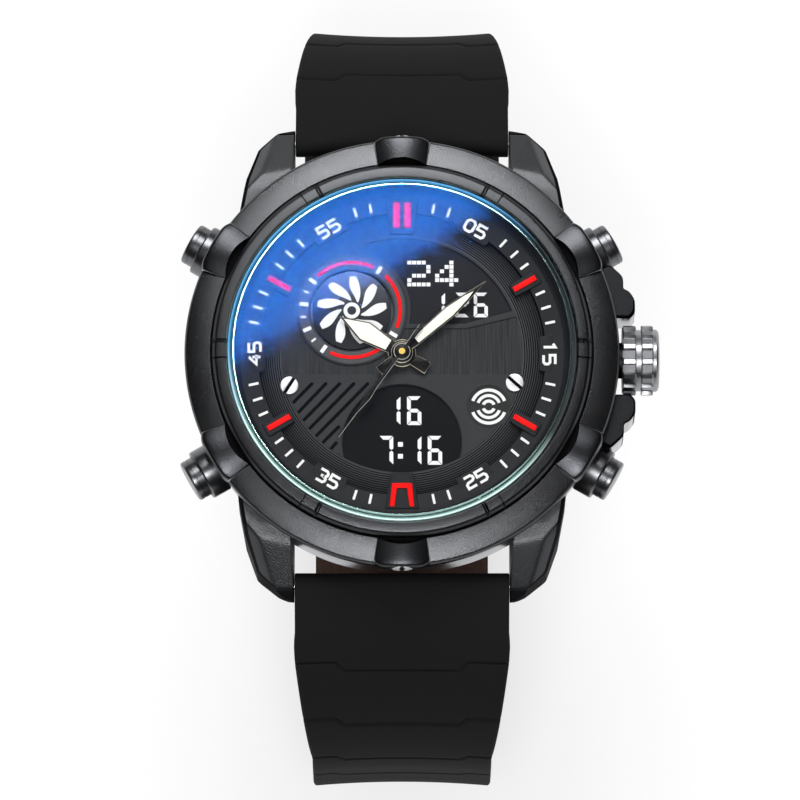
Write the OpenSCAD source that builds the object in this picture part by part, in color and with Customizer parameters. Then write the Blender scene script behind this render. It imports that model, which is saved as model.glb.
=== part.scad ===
// Sports watch with hands and two digital windows, on a two-piece strap.
// Z is up, the dial faces up, twelve o'clock is towards +Y and the crown towards +X.
// The origin is on the surface that the strap loop stands on, below the axis of the hands.
// Heights named below are measured from the outer face of the case back.

/* [Case] */
// Radius of the middle case
case_r = 23.5; // [23.3:0.1:23.7]
// Height of the middle case, up to the seat of the bezel
case_h = 10.4; // [10.2:0.1:10.6]
// Thickness of the case's wall round the movement
wall = 4.5; // [4.2:0.1:4.7]
// Width of the lip that carries the case back
lip_w = 3.3; // [2.9:0.1:3.6]
// Thickness of the lip
lip_t = 1.7; // [1.4:0.1:2]
// Thickness of the case back
back_t = 1.4; // [1.2:0.1:1.6]
// Width of the case's rim round the case back
back_rim = 3.3; // [2.9:0.1:3.5]
// Width between the lugs
lug_gap = 24; // [22:0.5:25]
// How far the lug tips stand out past the middle case
lug_out = 3.4; // [3.1:0.1:3.9]
// Distance of the spring bars from the lug tips
bar_in = 1.6; // [1.5:0.05:1.7]
// Height of the spring bars
bar_z = 5.2; // [4.9:0.1:5.5]
// Radius of a spring bar
bar_r = 0.9; // [0.7:0.05:1]
// Radius of a spring bar's tips
bar_tip_r = 0.4; // [0.35:0.05:0.45]

/* [Bezel] */
// How far the bezel stands out past the middle case
bezel_out = 0.7; // [0.5:0.1:0.9]
// Height of the bezel's outer ring
bezel_h = 2.2; // [2.1:0.05:2.4]
// Distance of the groove between the two bezel rings from the middle case's side
groove_in = 2.2; // [1.9:0.1:2.4]
// Width of the groove between the two bezel rings
groove_w = 0.18; // [0.14:0.02:0.3]
// Width of the inner bezel ring with the groove
ring_w = 1.7; // [1.5:0.05:1.8]
// Height of the inner bezel ring
ring_h = 1.7; // [1.5:0.1:1.9]
// Number of saddles round the bezel
saddles = 6; // [6:1:6]
// Width of a saddle at its outer edge
saddle_w = 6.3; // [5.5:0.1:7]
// Fall of a saddle's rounded top from its middle to its sides
saddle_fall = 0.55; // [0.3:0.05:0.65]
// Radius of the screw heads in the bezel's side
bezel_screw_r = 1.2; // [1:0.05:1.25]

/* [Crystal] */
// Width of the seal's upper edge round the crystal
seal_edge = 0.4; // [0.3:0.05:0.5]
// Thickness of the crystal
crystal_t = 1.15; // [1:0.05:1.4]

/* [Dial] */
// Height of the dial's upper face
dial_z = 10.6; // [10.5:0.05:10.7]
// Thickness of the dial plate
dial_t = 0.4; // [0.3:0.05:0.45]
// Width of the minute ring
chapter_w = 3.0; // [2.8:0.1:3.2]
// Distance from the minute ring's inner edge to the middle of an hour bar
marker_in = 0.25; // [0.1:0.05:0.4]
// Length of an hour bar
marker_l = 2.9; // [2.4:0.1:3.1]
// Width of an hour bar
marker_w = 0.6; // [0.4:0.05:0.8]
// Sideways place of the sub-dial's centre, as a share of the minute ring's radius
sub_side = 0.35; // [0.345:0.005:0.36]
// Upward place of the sub-dial's centre, as a share of the minute ring's radius
sub_up = 0.3125; // [0.3:0.0025:0.32]
// Radius of the sub-dial's ring, as a share of the minute ring's radius
sub_share = 0.39; // [0.375:0.005:0.395]
// Width of the sub-dial's ring
sub_w = 1.8; // [1.7:0.05:1.95]
// Radius of the lower digital window, as a share of the minute ring's radius
low_share = 0.4125; // [0.39:0.0025:0.42]
// Width of the dial outside the digital windows
rim_w = 2.8; // [2.7:0.1:3]
// Radius of the dial screws
dial_screw_r = 1.0; // [0.8:0.05:1.1]

/* [Hands] */
// Length of the hour hand, as a share of the minute ring's radius
hour_share = 0.475; // [0.44:0.005:0.53]
// Length of the minute hand, as a share of the minute ring's radius
minute_share = 0.744; // [0.7:0.004:0.8]
// Length of the second hand, as a share of the minute ring's radius
second_share = 0.75; // [0.7:0.01:0.84]
// Thickness of a hand
hand_t = 0.25; // [0.2:0.01:0.27]
// Radius of the second hand's arbor
arbor_r = 0.35; // [0.3:0.01:0.37]
// Wall of the cannon pinion and of the hour wheel's pipe
pipe_wall = 0.33; // [0.3:0.01:0.35]
// Radial clearance between the pipes
pipe_fit = 0.06; // [0.05:0.01:0.08]

/* [Crown] */
// Radius of the crown
crown_r = 3.95; // [3.7:0.05:4]
// Length of the crown
crown_l = 4.15; // [3.9:0.05:4.5]
// Gap between the middle case and the crown
crown_gap = 1.05; // [1:0.05:1.2]
// Height of the crown's axis
crown_z = 7.1; // [7:0.05:7.2]
// Travel of the crown when it is pulled
crown_pull = 1.2; // [0.8:0.1:1.3]
// Number of flutes round the crown
flutes = 18; // [12:1:24]
// Outer radius of the crown tube
tube_r = 2.0; // [1.9:0.05:2.1]
// Radius of the stem
stem_r = 0.6; // [0.5:0.05:0.65]

/* [Pushers] */
// Angle of the pushers above and below the line of the crown
pusher_angle = 30; // [29:0.5:31]
// Height of the pushers' axes
pusher_z = 6.2; // [6:0.1:6.4]
// Radius of a pusher's cap
cap_r = 2.37; // [2.2:0.01:2.4]
// How far the caps stand out past the middle case
cap_out = 3.8; // [3.6:0.1:4.1]
// Travel of a pusher
push = 0.9; // [0.6:0.05:0.9]
// Radius of the collar round a pusher
collar_r = 2.88; // [2.8:0.02:3]
// Radius of a pusher's stem
pusher_stem_r = 0.9; // [0.8:0.05:0.95]

/* [Strap] */
// Thickness of the strap with its lining
strap_t = 3.0; // [2.8:0.1:3.2]
// Thickness of the lining
lining_t = 0.8; // [0.6:0.1:1]
// Width of the strap at its tail and at the buckle
strap_w = 20.2; // [18:0.2:21]
// How far the strap's loop stands out past the lug tips
strap_out = 15.8; // [15.1:0.1:17.1]
// Radius of the strap's upper bend
upper_bend = 24; // [23:0.5:25]
// Radius of the strap's lower bend
lower_bend = 26; // [25:0.5:27]
// Length of the straight between the bends
side_l = 8; // [6:0.5:12]
// Distance of the tail's tip past the middle of the loop
tail_past = 0.5; // [0:0.1:1]
// Distance from the tail's tip to its last hole
last_hole = 12.5; // [12:0.5:14]
// Number of holes in the tail
holes = 7; // [5:1:8]
// Distance between two holes
hole_pitch = 6.5; // [6:0.1:7]
// Radius of a hole
hole_r = 1.0; // [0.8:0.05:1.1]
// Width of a keeper along the strap
keeper_w = 4; // [3:0.2:5]
// Thickness of a keeper
keeper_t = 1.0; // [0.8:0.05:1.1]
// Distance of the fixed keeper from the end of the lower bend
keeper_fixed_at = 11.5; // [11:0.5:12]
// Distance of the free keeper from the end of the lower bend
keeper_free_at = 20; // [19.5:0.5:21]

/* [Buckle] */
// Length of the buckle from its pin to its outer edge
buckle_l = 11.0; // [10:0.2:12]
// Thickness of the buckle's bar
buckle_bar = 1.9; // [1.6:0.1:2]
// Width of the buckle's side arms
buckle_arm = 2.2; // [1.8:0.1:2.6]
// Radius of the buckle's pin
pin_r = 0.75; // [0.6:0.05:0.8]
// Width of the tongue
tongue_w = 1.8; // [1.4:0.1:1.8]

/* [Hidden] */
$fn = 96;

// Clearances
fit = 0.05;
gap = 0.3;
past = 1;

// Case and bezel
cavity_r = case_r - wall;
back_r = case_r - back_rim;
lip_r = back_r - lip_w;
lug_reach = case_r + lug_out;
lug_root = 2.0;
bar_y = lug_reach - bar_in;
bezel_r = case_r + bezel_out;
groove_r = case_r - groove_in;
ring_r = groove_r - ring_w;
crystal_r = ring_r - seal_edge;
case_foot = 0.6;
case_foot_r = case_r - 1.2;
lip_top = back_t + lip_t;
bezel_top = case_h + bezel_h;
groove_z = bezel_top - 0.6;
ring_top = groove_z + ring_h;
crystal_z = dial_z + 2.15;
gasket_t = 0.25;
ledge_z = crystal_z - gasket_t;
saddle_r = bezel_r + 0.3;
saddle_in = groove_r - 0.05;
saddle_top = bezel_top + 0.65;
saddle_foot = case_h + 0.15;
saddle_drop = 0.35;
saddle_end = 1.1;
bezel_screw_z = case_h + 0.1 + bezel_screw_r;
bezel_head_t = 0.4;
lug_w = 5.9;
bar_tip_l = 1.2;
back_screw_r = 0.5;
back_screw_at = (lip_r + back_r) / 2 + 0.5;
seal_r = lip_r + 0.5;
seal_w = 0.8;
seal_t = 0.5;

// Dial and windows
chapter_r = cavity_r - chapter_w;
chapter_flat = chapter_r + 2.05;
marker_r = chapter_r - marker_in;
marker_t = 0.2;
sub_x = -sub_side * chapter_r;
sub_y = sub_up * chapter_r;
sub_r = sub_share * chapter_r;
disc_r = sub_r - sub_w;
sub_edge = 0.4;
low_r = low_share * chapter_r;
high_r = chapter_r - rim_w;
pad_z = dial_z + 0.6;
pad_out = marker_r + 1.7;
pad_in = marker_r - 1.6;
wide_pad_in = marker_r - 2.2;
tab_in = chapter_r - 0.7;
tab_w = 4.4;
low_y = -0.628 * chapter_r;
low_floor = rim_w - 0.2 - chapter_r;
high_floor = 0.219 * chapter_r;
high_rise = 0.125 * chapter_r;
high_bend = 0.4375 * chapter_r;
high_left = -0.256 * chapter_r;
lcd_t = 0.8;
lcd_margin = 0.5;
dial_screw_a = [-0.784, -0.225] * chapter_r;
dial_screw_b = [0.781, -0.206] * chapter_r;
disc_z = dial_z - 0.3;
disc_t = 0.35;
sub_arbor_r = 0.5;

// Hands, from the inside out: arbor, cannon pinion, hour wheel
cannon_in = arbor_r + pipe_fit;
cannon_out = cannon_in + pipe_wall;
hour_in = cannon_out + pipe_fit;
hour_out = hour_in + pipe_wall;
hour_z = dial_z + 0.5;
hand_step = hand_t + 0.24;
minute_z = hour_z + hand_step;
second_z = minute_z + hand_step;
dial_hole_r = hour_out + 0.2;
hour_l = hour_share * chapter_r;
minute_l = minute_share * chapter_r;
second_l = second_share * chapter_r;
hour_angle = 301;
minute_angle = 49;
second_angle = 216;

// Movement, between the case back and the dial
module_r = chapter_r - 1;
module_z = dial_z - 4.7;
module_top = dial_z - dial_t - lcd_t;
board_t = 0.9;
board_z = module_z - board_t;
holder_wall = cavity_r - 0.1;
well_r = 1.4;
well_z = module_z + 1.1;
battery_r = 4.75;
battery_t = 2.7;
battery_at = [-0.347, -0.387] * module_r;
clip_t = 0.25;
buzzer_r = 8;
buzzer_t = 0.35;
coil_r = 1.15;
coil_l = 9;
coil_at = 0.56 * module_r;
board_hole_at = 0.567 * module_r;

// Crown
crown_x = case_r + crown_gap;
crown_cavity_r = tube_r + 0.35;
crown_cavity = 2.1;
tube_end = crown_x + 1.6;
stem_hole_r = stem_r + fit;
square = 0.8;
pinion_x = module_r - 1.8;
pinion_l = 1.1;
pinion_r = 1.0;
stem_in = pinion_x - 0.6;

// Pushers: the cap plunges into the collar, which holds the spring
cap_end = case_r + cap_out;
collar_end = cap_end - 1.45;
cap_in = collar_end - 0.5;
recess = cap_in - push - 0.15;
recess_r = cap_r + 0.08;
sleeve_r = 1.6;
sleeve_in = cavity_r + 0.45;
spot_r = 1.95;
clip_r = 1.7;
ring_t = 0.3;
clip_x = sleeve_in - 0.05 - ring_t;
pusher_in = clip_x - 0.35;
pusher_places = [pusher_angle, -pusher_angle, 180 + pusher_angle, 180 - pusher_angle];

// Strap loop: an upper bend, a straight, a lower bend and a flat foot
strap_reach = lug_reach + strap_out;
end_r = strap_t / 2;
upper_y = strap_reach - upper_bend;
start = acos((bar_y - upper_y) / (upper_bend - end_r));
upper_z = bar_z - (upper_bend - end_r) * sin(start);
lower_y = strap_reach - lower_bend;
lower_z = upper_z - side_l;
lift = lower_bend - lower_z;
s_side = upper_bend * start * PI / 180;
s_lower = s_side + side_l;
s_foot = s_lower + lower_bend * PI / 2;
strap_step = 2.5;
lug_fit = 0.15;
strap_w_top = lug_gap - 2 * lug_fit;
taper_from = 5;
taper_to = 26;
lining_from = 4.5;
rubber_t = strap_t - lining_t;
s_tail = s_foot + lower_y + tail_past;
s_hole = s_tail - last_hole;
lining_to = s_foot - 5;
tail_tip_r = strap_w / 2;
keeper_fit = 0.3;
keeper_fixed_s = s_foot - keeper_fixed_at;
keeper_free_s = s_foot - keeper_free_at;
pin_z = end_r;
bar_hole_r = bar_r + fit;
pin_hole_r = pin_r + fit;
notch_w = tongue_w + 2 * gap;
notch_l = 3.4;
buckle_w = strap_w + 2 * gap + 2 * buckle_arm;
tongue_t = 1.1;
loop_r = pin_hole_r + 0.55;

// Outward direction of the strap at a distance along it from the spring bar
function bend(s) =
    s < s_side ? start - s / upper_bend * 180 / PI
    : s < s_lower ? 0
    : s < s_foot ? -(s - s_lower) / lower_bend * 180 / PI
    : -90;

// Point at a distance along the strap and a depth under its outer face, in Y and Z
function spot(s, depth) =
    let (a = bend(s), out = [cos(a), sin(a)])
    (s < s_side ? [upper_y, upper_z] + upper_bend * out
    : s < s_lower ? [strap_reach, upper_z - (s - s_side)]
    : s < s_foot ? [lower_y, lower_z] + lower_bend * out
    : [lower_y - (s - s_foot), lower_z - lower_bend]) - depth * out;

// Width of the strap at a distance along it
function strap_width(s) =
    let (k = max(0, min(1, (s - taper_from) / (taper_to - taper_from))))
    strap_w_top + (strap_w - strap_w_top) * k;

// Lays a drawing in Y and Z and gives it a width along X
module across(w) {
    rotate([90, 0, 90])
        linear_extrude(w, center = true)
            children();
}

module ring(r_in, r_out, z, h) {
    translate([0, 0, z])
        difference() {
            cylinder(r = r_out, h = h);
            translate([0, 0, -past])
                cylinder(r = r_in, h = h + 2 * past);
        }
}

// A rod along +X from x0 to x1 at height z
module rod(r, x0, x1, z) {
    translate([x0, 0, z])
        rotate([0, 90, 0])
            cylinder(r = r, h = x1 - x0);
}

module sleeve(r_in, r_out, x0, x1, z) {
    difference() {
        rod(r_out, x0, x1, z);
        rod(r_in, x0 - past, x1 + past, z);
    }
}

// Puts a piece of the case at its height above the strap's foot
module raised() {
    translate([0, 0, lift])
        children();
}

module at_pushers() {
    for (a = pusher_places)
        rotate([0, 0, a])
            children();
}

// Case
module lug() {
    half = lug_gap / 2;
    lug_l = 12.9;
    intersection() {
        translate([0, 0, case_foot])
            linear_extrude(case_h)
                polygon([[half, lug_reach - lug_l], [half, lug_reach],
                    [half + 1.6, lug_reach - 0.5], [half + 4.0, lug_reach - 2.7],
                    [half + 5.4, lug_reach - 6.6], [half + lug_w + 0.3, lug_reach - 10.9],
                    [half + lug_w, lug_reach - lug_l]]);
        translate([half + lug_w / 2, 0, 0])
            across(2 * lug_w)
                polygon([[lug_reach - lug_l - past, case_foot], [lug_reach - lug_l - past, case_h],
                    [lug_reach - 6.3, case_h], [lug_reach - 5.3, case_h - 0.7],
                    [lug_reach - 1.5, bar_z + 1.9], [lug_reach - 0.5, bar_z + 0.7],
                    [lug_reach, bar_z - 0.9], [lug_reach - 0.2, bar_z - 2.1],
                    [lug_reach - 1.1, bar_z - 2.7], [lug_reach - 4, case_foot + 0.3],
                    [lug_reach - 5.5, case_foot]]);
    }
}

module crown_guard() {
    side = crown_r + 0.4;
    root = case_r - 3;
    translate([0, 0, case_foot + 2.9])
        linear_extrude(case_h - case_foot - 3.7)
            polygon([[root, side], [case_r + 2, side], [case_r + 2.5, side + 0.6],
                [case_r + 2.5, side + 2.1], [case_r + 2, side + 3], [case_r + 1.2, side + 3.3],
                [case_r + 1.2, side + 4.7], [case_r - 0.2, side + 6.1], [root, side + 6.1]]);
}

module mid_case() {
    color("#2b2b2d")
        raised()
            difference() {
                union() {
                    rotate_extrude()
                        polygon([[lip_r, back_t], [lip_r, lip_top], [cavity_r, lip_top],
                            [cavity_r, case_h], [case_r, case_h], [case_r, case_foot + 2],
                            [case_foot_r, case_foot], [back_r + fit, case_foot],
                            [back_r + fit, back_t]]);
                    difference() {
                        for (mx = [0, 1])
                            for (my = [0, 1])
                                mirror([mx, 0, 0])
                                    mirror([0, my, 0])
                                        lug();
                        cylinder(r = case_r - lug_root, h = case_h + past);
                    }
                    difference() {
                        for (my = [0, 1])
                            mirror([0, my, 0])
                                crown_guard();
                        cylinder(r = case_r - lug_root, h = case_h + past);
                    }
                }
                for (my = [-1, 1])
                    translate([0, my * bar_y, bar_z])
                        rotate([0, 90, 0])
                            cylinder(r = bar_tip_r + fit, h = lug_gap + 2 * bar_tip_l + 0.2,
                                center = true, $fn = 32);
                rod(tube_r, cavity_r - past, case_r + past, crown_z);
                at_pushers() {
                    rod(sleeve_r, cavity_r - past, case_r + past, pusher_z);
                    rod(spot_r, cavity_r - past, sleeve_in, pusher_z);
                    rod(collar_r + fit, case_r - 0.15, cap_end, pusher_z);
                }
                for (a = [45:90:315])
                    rotate([0, 0, a])
                        translate([back_screw_at, 0, back_t - past])
                            cylinder(r = back_screw_r, h = past + lip_t - 0.2, $fn = 32);
            }
}

// The rounded block that stands on the outer ring at every second hour
module saddle() {
    inner_w = saddle_w * 0.87;
    brow_r = saddle_in + 0.3;
    slope = atan(saddle_drop / (saddle_r - saddle_end - brow_r));
    round_r = (pow(saddle_w / 2, 2) + pow(saddle_fall, 2)) / (2 * saddle_fall);
    intersection() {
        translate([0, 0, saddle_foot])
            linear_extrude(saddle_top - saddle_foot)
                polygon([[saddle_in - past, -inner_w / 2], [saddle_r + past, -saddle_w / 2],
                    [saddle_r + past, saddle_w / 2], [saddle_in - past, inner_w / 2]]);
        rotate_extrude()
            polygon([[saddle_in, saddle_foot], [saddle_in, saddle_top - 0.1],
                [brow_r, saddle_top], [saddle_r - saddle_end, saddle_top - saddle_drop],
                [saddle_r, saddle_top - saddle_end], [saddle_r, saddle_foot]]);
        translate([brow_r, 0, saddle_top + 0.03])
            rotate([0, slope, 0])
                translate([0, 0, -round_r])
                    rotate([0, 90, 0])
                        cylinder(r = round_r, h = 10, center = true);
    }
}

module bezel_outer() {
    color("#3a3a3c")
        raised()
            difference() {
                union() {
                    rotate_extrude()
                        polygon([[cavity_r, case_h], [cavity_r, ledge_z], [ring_r, ledge_z],
                            [ring_r, groove_z], [groove_r, groove_z], [groove_r, bezel_top - 0.1],
                            [groove_r + 0.12, bezel_top], [groove_r + 1.2, bezel_top - 0.08],
                            [bezel_r - 0.9, bezel_top - 0.5], [bezel_r - 0.25, bezel_top - 0.95],
                            [bezel_r, bezel_top - 1.5], [bezel_r, case_h + 0.3],
                            [bezel_r - 0.3, case_h]]);
                    for (k = [0:saddles - 1])
                        rotate([0, 0, 90 + k * 360 / saddles])
                            saddle();
                }
                for (a = [90, 270])
                    rotate([0, 0, a]) {
                        rod(bezel_screw_r + fit, saddle_r - bezel_head_t, saddle_r + past,
                            bezel_screw_z);
                        rod(bezel_screw_r / 2, saddle_r - 2, saddle_r, bezel_screw_z);
                    }
            }
}

module bezel_inner() {
    color("#404042")
        raised()
            difference() {
                rotate_extrude()
                    polygon([[ring_r, groove_z], [ring_r, ring_top - 0.12],
                        [ring_r + 0.12, ring_top], [groove_r - groove_w - 0.5, ring_top - 0.25],
                        [groove_r - groove_w, ring_top - 0.6], [groove_r - groove_w, groove_z]]);
                for (a = [0:60:300])
                    for (side = [-1, 1])
                        rotate([0, 0, a])
                            translate([ring_r - past, side * 0.97 - 0.1, ring_top - 0.5])
                                cube([3, 0.2, past]);
            }
}

module bezel_screws() {
    color("#c9c9cc")
        raised()
            for (a = [90, 270])
                rotate([0, 0, a])
                    difference() {
                        union() {
                            rod(bezel_screw_r, saddle_r - bezel_head_t, saddle_r, bezel_screw_z);
                            rod(bezel_screw_r / 2, saddle_r - 2, saddle_r - bezel_head_t / 2,
                                bezel_screw_z);
                        }
                        translate([saddle_r - 0.2, -0.15, bezel_screw_z - 2])
                            cube([1, 0.3, 4]);
                    }
}

module crystal() {
    color("#bcd4ea", 0.35)
        raised()
            translate([0, 0, crystal_z])
                rotate_extrude()
                    polygon([[0, 0], [crystal_r, 0], [crystal_r, crystal_t - 0.4],
                        [crystal_r - 0.4, crystal_t], [0, crystal_t]]);
}

module crystal_gasket() {
    color("#151515")
        raised()
            rotate_extrude()
                polygon([[crystal_r - 0.3, ledge_z], [ring_r, ledge_z],
                    [ring_r, crystal_z + crystal_t - 0.5], [crystal_r, crystal_z + crystal_t - 0.5],
                    [crystal_r, crystal_z], [crystal_r - 0.3, crystal_z]]);
}

// Dial
module pad(r_in, r_out, w_in, w_out, top) {
    translate([0, 0, dial_z])
        linear_extrude(top - dial_z)
            polygon([[r_in, -w_in / 2], [r_out, -w_out / 2],
                [r_out, w_out / 2], [r_in, w_in / 2]]);
}

module chapter_ring() {
    color("#1f1f20")
        raised()
            union() {
                rotate_extrude()
                    polygon([[chapter_r, dial_z], [chapter_r, dial_z + 0.3],
                        [chapter_r + 0.1, dial_z + 0.4], [chapter_flat, dial_z + 0.65],
                        [cavity_r - 0.2, ledge_z - 0.1], [cavity_r - 0.1, ledge_z - 0.1],
                        [cavity_r - 0.1, dial_z]]);
                for (a = [30, 150, 210, 330])
                    rotate([0, 0, a])
                        pad(pad_in, pad_out, 1.6, 1.6, pad_z);
                for (a = [90, 270])
                    rotate([0, 0, a])
                        pad(wide_pad_in, pad_out, 2.7, 3.9, pad_z);
                for (a = [0:60:300])
                    rotate([0, 0, a])
                        pad(tab_in, chapter_r + 0.6, tab_w - 0.4, tab_w, dial_z + 0.35);
            }
}

module hour_bar(w, l) {
    translate([marker_r - l / 2, -w / 2, pad_z])
        cube([l, w, marker_t]);
}

module hour_markers() {
    color("#d6202a")
        raised() {
            for (a = [30, 150, 210, 330])
                rotate([0, 0, a])
                    hour_bar(marker_w, marker_l);
            for (side = [-1, 1])
                rotate([0, 0, 90])
                    translate([0, side * 0.61, 0])
                        hour_bar(0.78, marker_l);
            rotate([0, 0, 270])
                union() {
                    for (side = [-1, 1])
                        translate([0, side * 1.05, 0])
                            hour_bar(marker_w, marker_l - 0.2);
                    translate([marker_r - marker_l / 2 + 0.1, -1.35, pad_z])
                        cube([0.6, 2.7, marker_t]);
                }
        }
}

module low_window(margin) {
    intersection() {
        translate([0, low_y])
            circle(r = low_r + margin);
        translate([-low_r - 2, low_floor - margin])
            square([2 * low_r + 4, 2 * low_r]);
    }
}

module high_window(margin) {
    difference() {
        intersection() {
            circle(r = high_r + margin);
            polygon([[high_left - margin, high_floor - margin],
                [high_bend, high_floor - margin], [chapter_r, high_floor + high_rise - margin],
                [chapter_r, chapter_r], [high_left - margin, chapter_r]]);
        }
        translate([sub_x, sub_y])
            circle(r = sub_r + sub_edge - margin);
    }
}

module dial_plate() {
    color("#232324")
        raised()
            difference() {
                translate([0, 0, dial_z - dial_t])
                    cylinder(r = cavity_r - 0.1, h = dial_t);
                translate([0, 0, dial_z - dial_t - past])
                    linear_extrude(dial_t + 2 * past) {
                        low_window(0);
                        high_window(0);
                    }
                translate([0, 0, dial_z - dial_t - past])
                    cylinder(r = dial_hole_r, h = dial_t + 2 * past, $fn = 48);
                translate([sub_x, sub_y, dial_z - dial_t - past])
                    cylinder(r = disc_r + 0.15, h = dial_t + 2 * past);
                for (p = [dial_screw_a, dial_screw_b])
                    translate([p.x, p.y, dial_z - dial_t - past])
                        cylinder(r = dial_screw_r / 2, h = dial_t + 2 * past, $fn = 32);
            }
}

module dial_screws() {
    color("#c4c6ca")
        raised()
            for (p = [[dial_screw_a, 58], [dial_screw_b, -34]])
                translate([p[0].x, p[0].y, dial_z])
                    rotate([0, 0, p[1]])
                        difference() {
                            union() {
                                cylinder(r = dial_screw_r, h = 0.3, $fn = 48);
                                translate([0, 0, -1.2])
                                    cylinder(r = dial_screw_r / 2, h = 1.3, $fn = 32);
                            }
                            translate([-2, -0.13, 0.14])
                                cube([4, 0.26, 1]);
                        }
}

module subdial_ring() {
    color("#1a1a1b")
        raised()
            translate([sub_x, sub_y, 0])
                rotate_extrude()
                    polygon([[disc_r + 0.3, dial_z], [disc_r + 0.3, dial_z + 0.25],
                        [disc_r + 0.45, dial_z + 0.35], [sub_r - 0.25, dial_z + 0.35],
                        [sub_r, dial_z + 0.15], [sub_r, dial_z]]);
}

module subdial_disc() {
    color("#e8e8ea")
        raised()
            translate([sub_x, sub_y, 0])
                union() {
                    translate([0, 0, disc_z])
                        cylinder(r = disc_r, h = disc_t);
                    translate([0, 0, disc_z + disc_t - 0.05])
                        cylinder(r = sub_arbor_r, h = 0.3, $fn = 32);
                    translate([0, 0, well_z + 1.2])
                        cylinder(r = sub_arbor_r, h = disc_z - well_z - 1, $fn = 32);
                }
}

module lcd_upper() {
    color("#0b0c10")
        raised()
            translate([0, 0, module_top])
                linear_extrude(lcd_t)
                    difference() {
                        high_window(lcd_margin);
                        translate([sub_x, sub_y])
                            circle(r = sub_r - lcd_margin);
                    }
}

module lcd_lower() {
    color("#0b0c10")
        raised()
            translate([0, 0, module_top])
                linear_extrude(lcd_t)
                    low_window(lcd_margin);
}

// Hands
module hand(angle, z, bore, boss, outline) {
    rotate([0, 0, -angle])
        translate([0, 0, z])
            difference() {
                union() {
                    cylinder(r = boss, h = hand_t, $fn = 48);
                    linear_extrude(hand_t)
                        polygon(outline);
                }
                translate([0, 0, -past])
                    cylinder(r = bore, h = 2 * past + hand_t, $fn = 48);
            }
}

module hour_hand() {
    color("#f2f2ee")
        raised()
            hand(hour_angle, hour_z, hour_out, hour_out + 0.45,
                [[-0.55, 0.6], [-1.05, 2.6], [-1.0, 4.6], [0, hour_l], [1.0, 4.6], [1.05, 2.6],
                    [0.55, 0.6], [0.7, -3.3], [-0.7, -3.3]]);
}

module hour_wheel() {
    color("#c9a24c")
        raised()
            difference() {
                union() {
                    translate([0, 0, module_top + 0.1])
                        cylinder(r = hour_out, h = hour_z + hand_t - module_top - 0.1, $fn = 48);
                    translate([0, 0, module_top + 0.15])
                        cylinder(r = 2.4, h = 0.35, $fn = 60);
                }
                cylinder(r = hour_in, h = hour_z + 2, $fn = 48);
            }
}

module minute_hand() {
    color("#f2f2ee")
        raised()
            hand(minute_angle, minute_z, cannon_out, cannon_out + 0.5,
                [[-0.45, 0.6], [-0.62, 4.5], [-0.62, 9.4], [0, minute_l], [0.62, 9.4],
                    [0.62, 4.5], [0.45, 0.6], [0.6, -3.2], [-0.6, -3.2]]);
}

module cannon_pinion() {
    color("#c9a24c")
        raised()
            difference() {
                union() {
                    translate([0, 0, well_z + 1])
                        cylinder(r = cannon_out, h = minute_z + hand_t - well_z - 1, $fn = 48);
                    translate([0, 0, well_z + 1])
                        cylinder(r = well_r - 0.2, h = 0.7, $fn = 48);
                }
                cylinder(r = cannon_in, h = minute_z + 2, $fn = 48);
            }
}

module second_hand() {
    color("#161616")
        raised()
            hand(second_angle, second_z, arbor_r, 0.95,
                [[-0.16, 0.5], [-0.09, second_l], [0.09, second_l], [0.16, 0.5], [0.28, -3.6],
                    [-0.28, -3.6]]);
}

module second_arbor() {
    color("#d8b45a")
        raised()
            translate([0, 0, well_z])
                cylinder(r = arbor_r, h = second_z + hand_t + 0.15 - well_z, $fn = 48);
}

// Movement
module movement_module() {
    color("#8f949a")
        raised()
            difference() {
                translate([0, 0, module_z])
                    cylinder(r = module_r, h = module_top - module_z);
                translate([0, 0, well_z])
                    cylinder(r = well_r, h = module_top - well_z + past, $fn = 48);
                translate([sub_x, sub_y, well_z + 1.1])
                    cylinder(r = sub_arbor_r + fit, h = module_top - well_z, $fn = 32);
                rod(stem_r + 0.15, stem_in - 0.3, module_r + past, crown_z);
                rod(pinion_r + 0.08, pinion_x - 0.1, pinion_x + pinion_l + 0.1, crown_z);
                for (p = [dial_screw_a, dial_screw_b])
                    translate([p.x, p.y, module_top - 0.6])
                        cylinder(r = dial_screw_r / 2, h = past, $fn = 32);
            }
}

module movement_holder() {
    color("#d9d6cc")
        raised()
            difference() {
                ring(module_r, holder_wall, lip_top, dial_z - dial_t - lip_top);
                rod(stem_r + 0.4, module_r - past, cavity_r + past, crown_z);
                at_pushers()
                    rod(spot_r + 0.1, pusher_in - push - 0.3, cavity_r + past, pusher_z);
            }
}

module circuit_board() {
    color("#1f5b3a")
        raised()
            translate([0, 0, board_z])
                difference() {
                    cylinder(r = module_r - 0.3, h = board_t);
                    translate([board_hole_at, board_hole_at, -past])
                        cylinder(r = 1, h = board_t + 2 * past, $fn = 32);
                }
}

module stepper_coil() {
    color("#b86a34")
        raised()
            translate([0, coil_at, board_z - coil_r - 0.25])
                rotate([0, 90, 0])
                    union() {
                        cylinder(r = coil_r, h = coil_l, center = true, $fn = 48);
                        for (side = [-1, 1])
                            translate([0, 0, side * coil_l / 2])
                                cylinder(r = coil_r + 0.25, h = 0.6, center = true, $fn = 48);
                    }
}

module battery() {
    color("#b9bdc2")
        raised()
            translate([battery_at.x, battery_at.y, board_z - battery_t])
                union() {
                    translate([0, 0, 0.3])
                        cylinder(r = battery_r, h = battery_t - 0.3);
                    cylinder(r = battery_r - 0.5, h = 0.4);
                }
}

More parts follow.
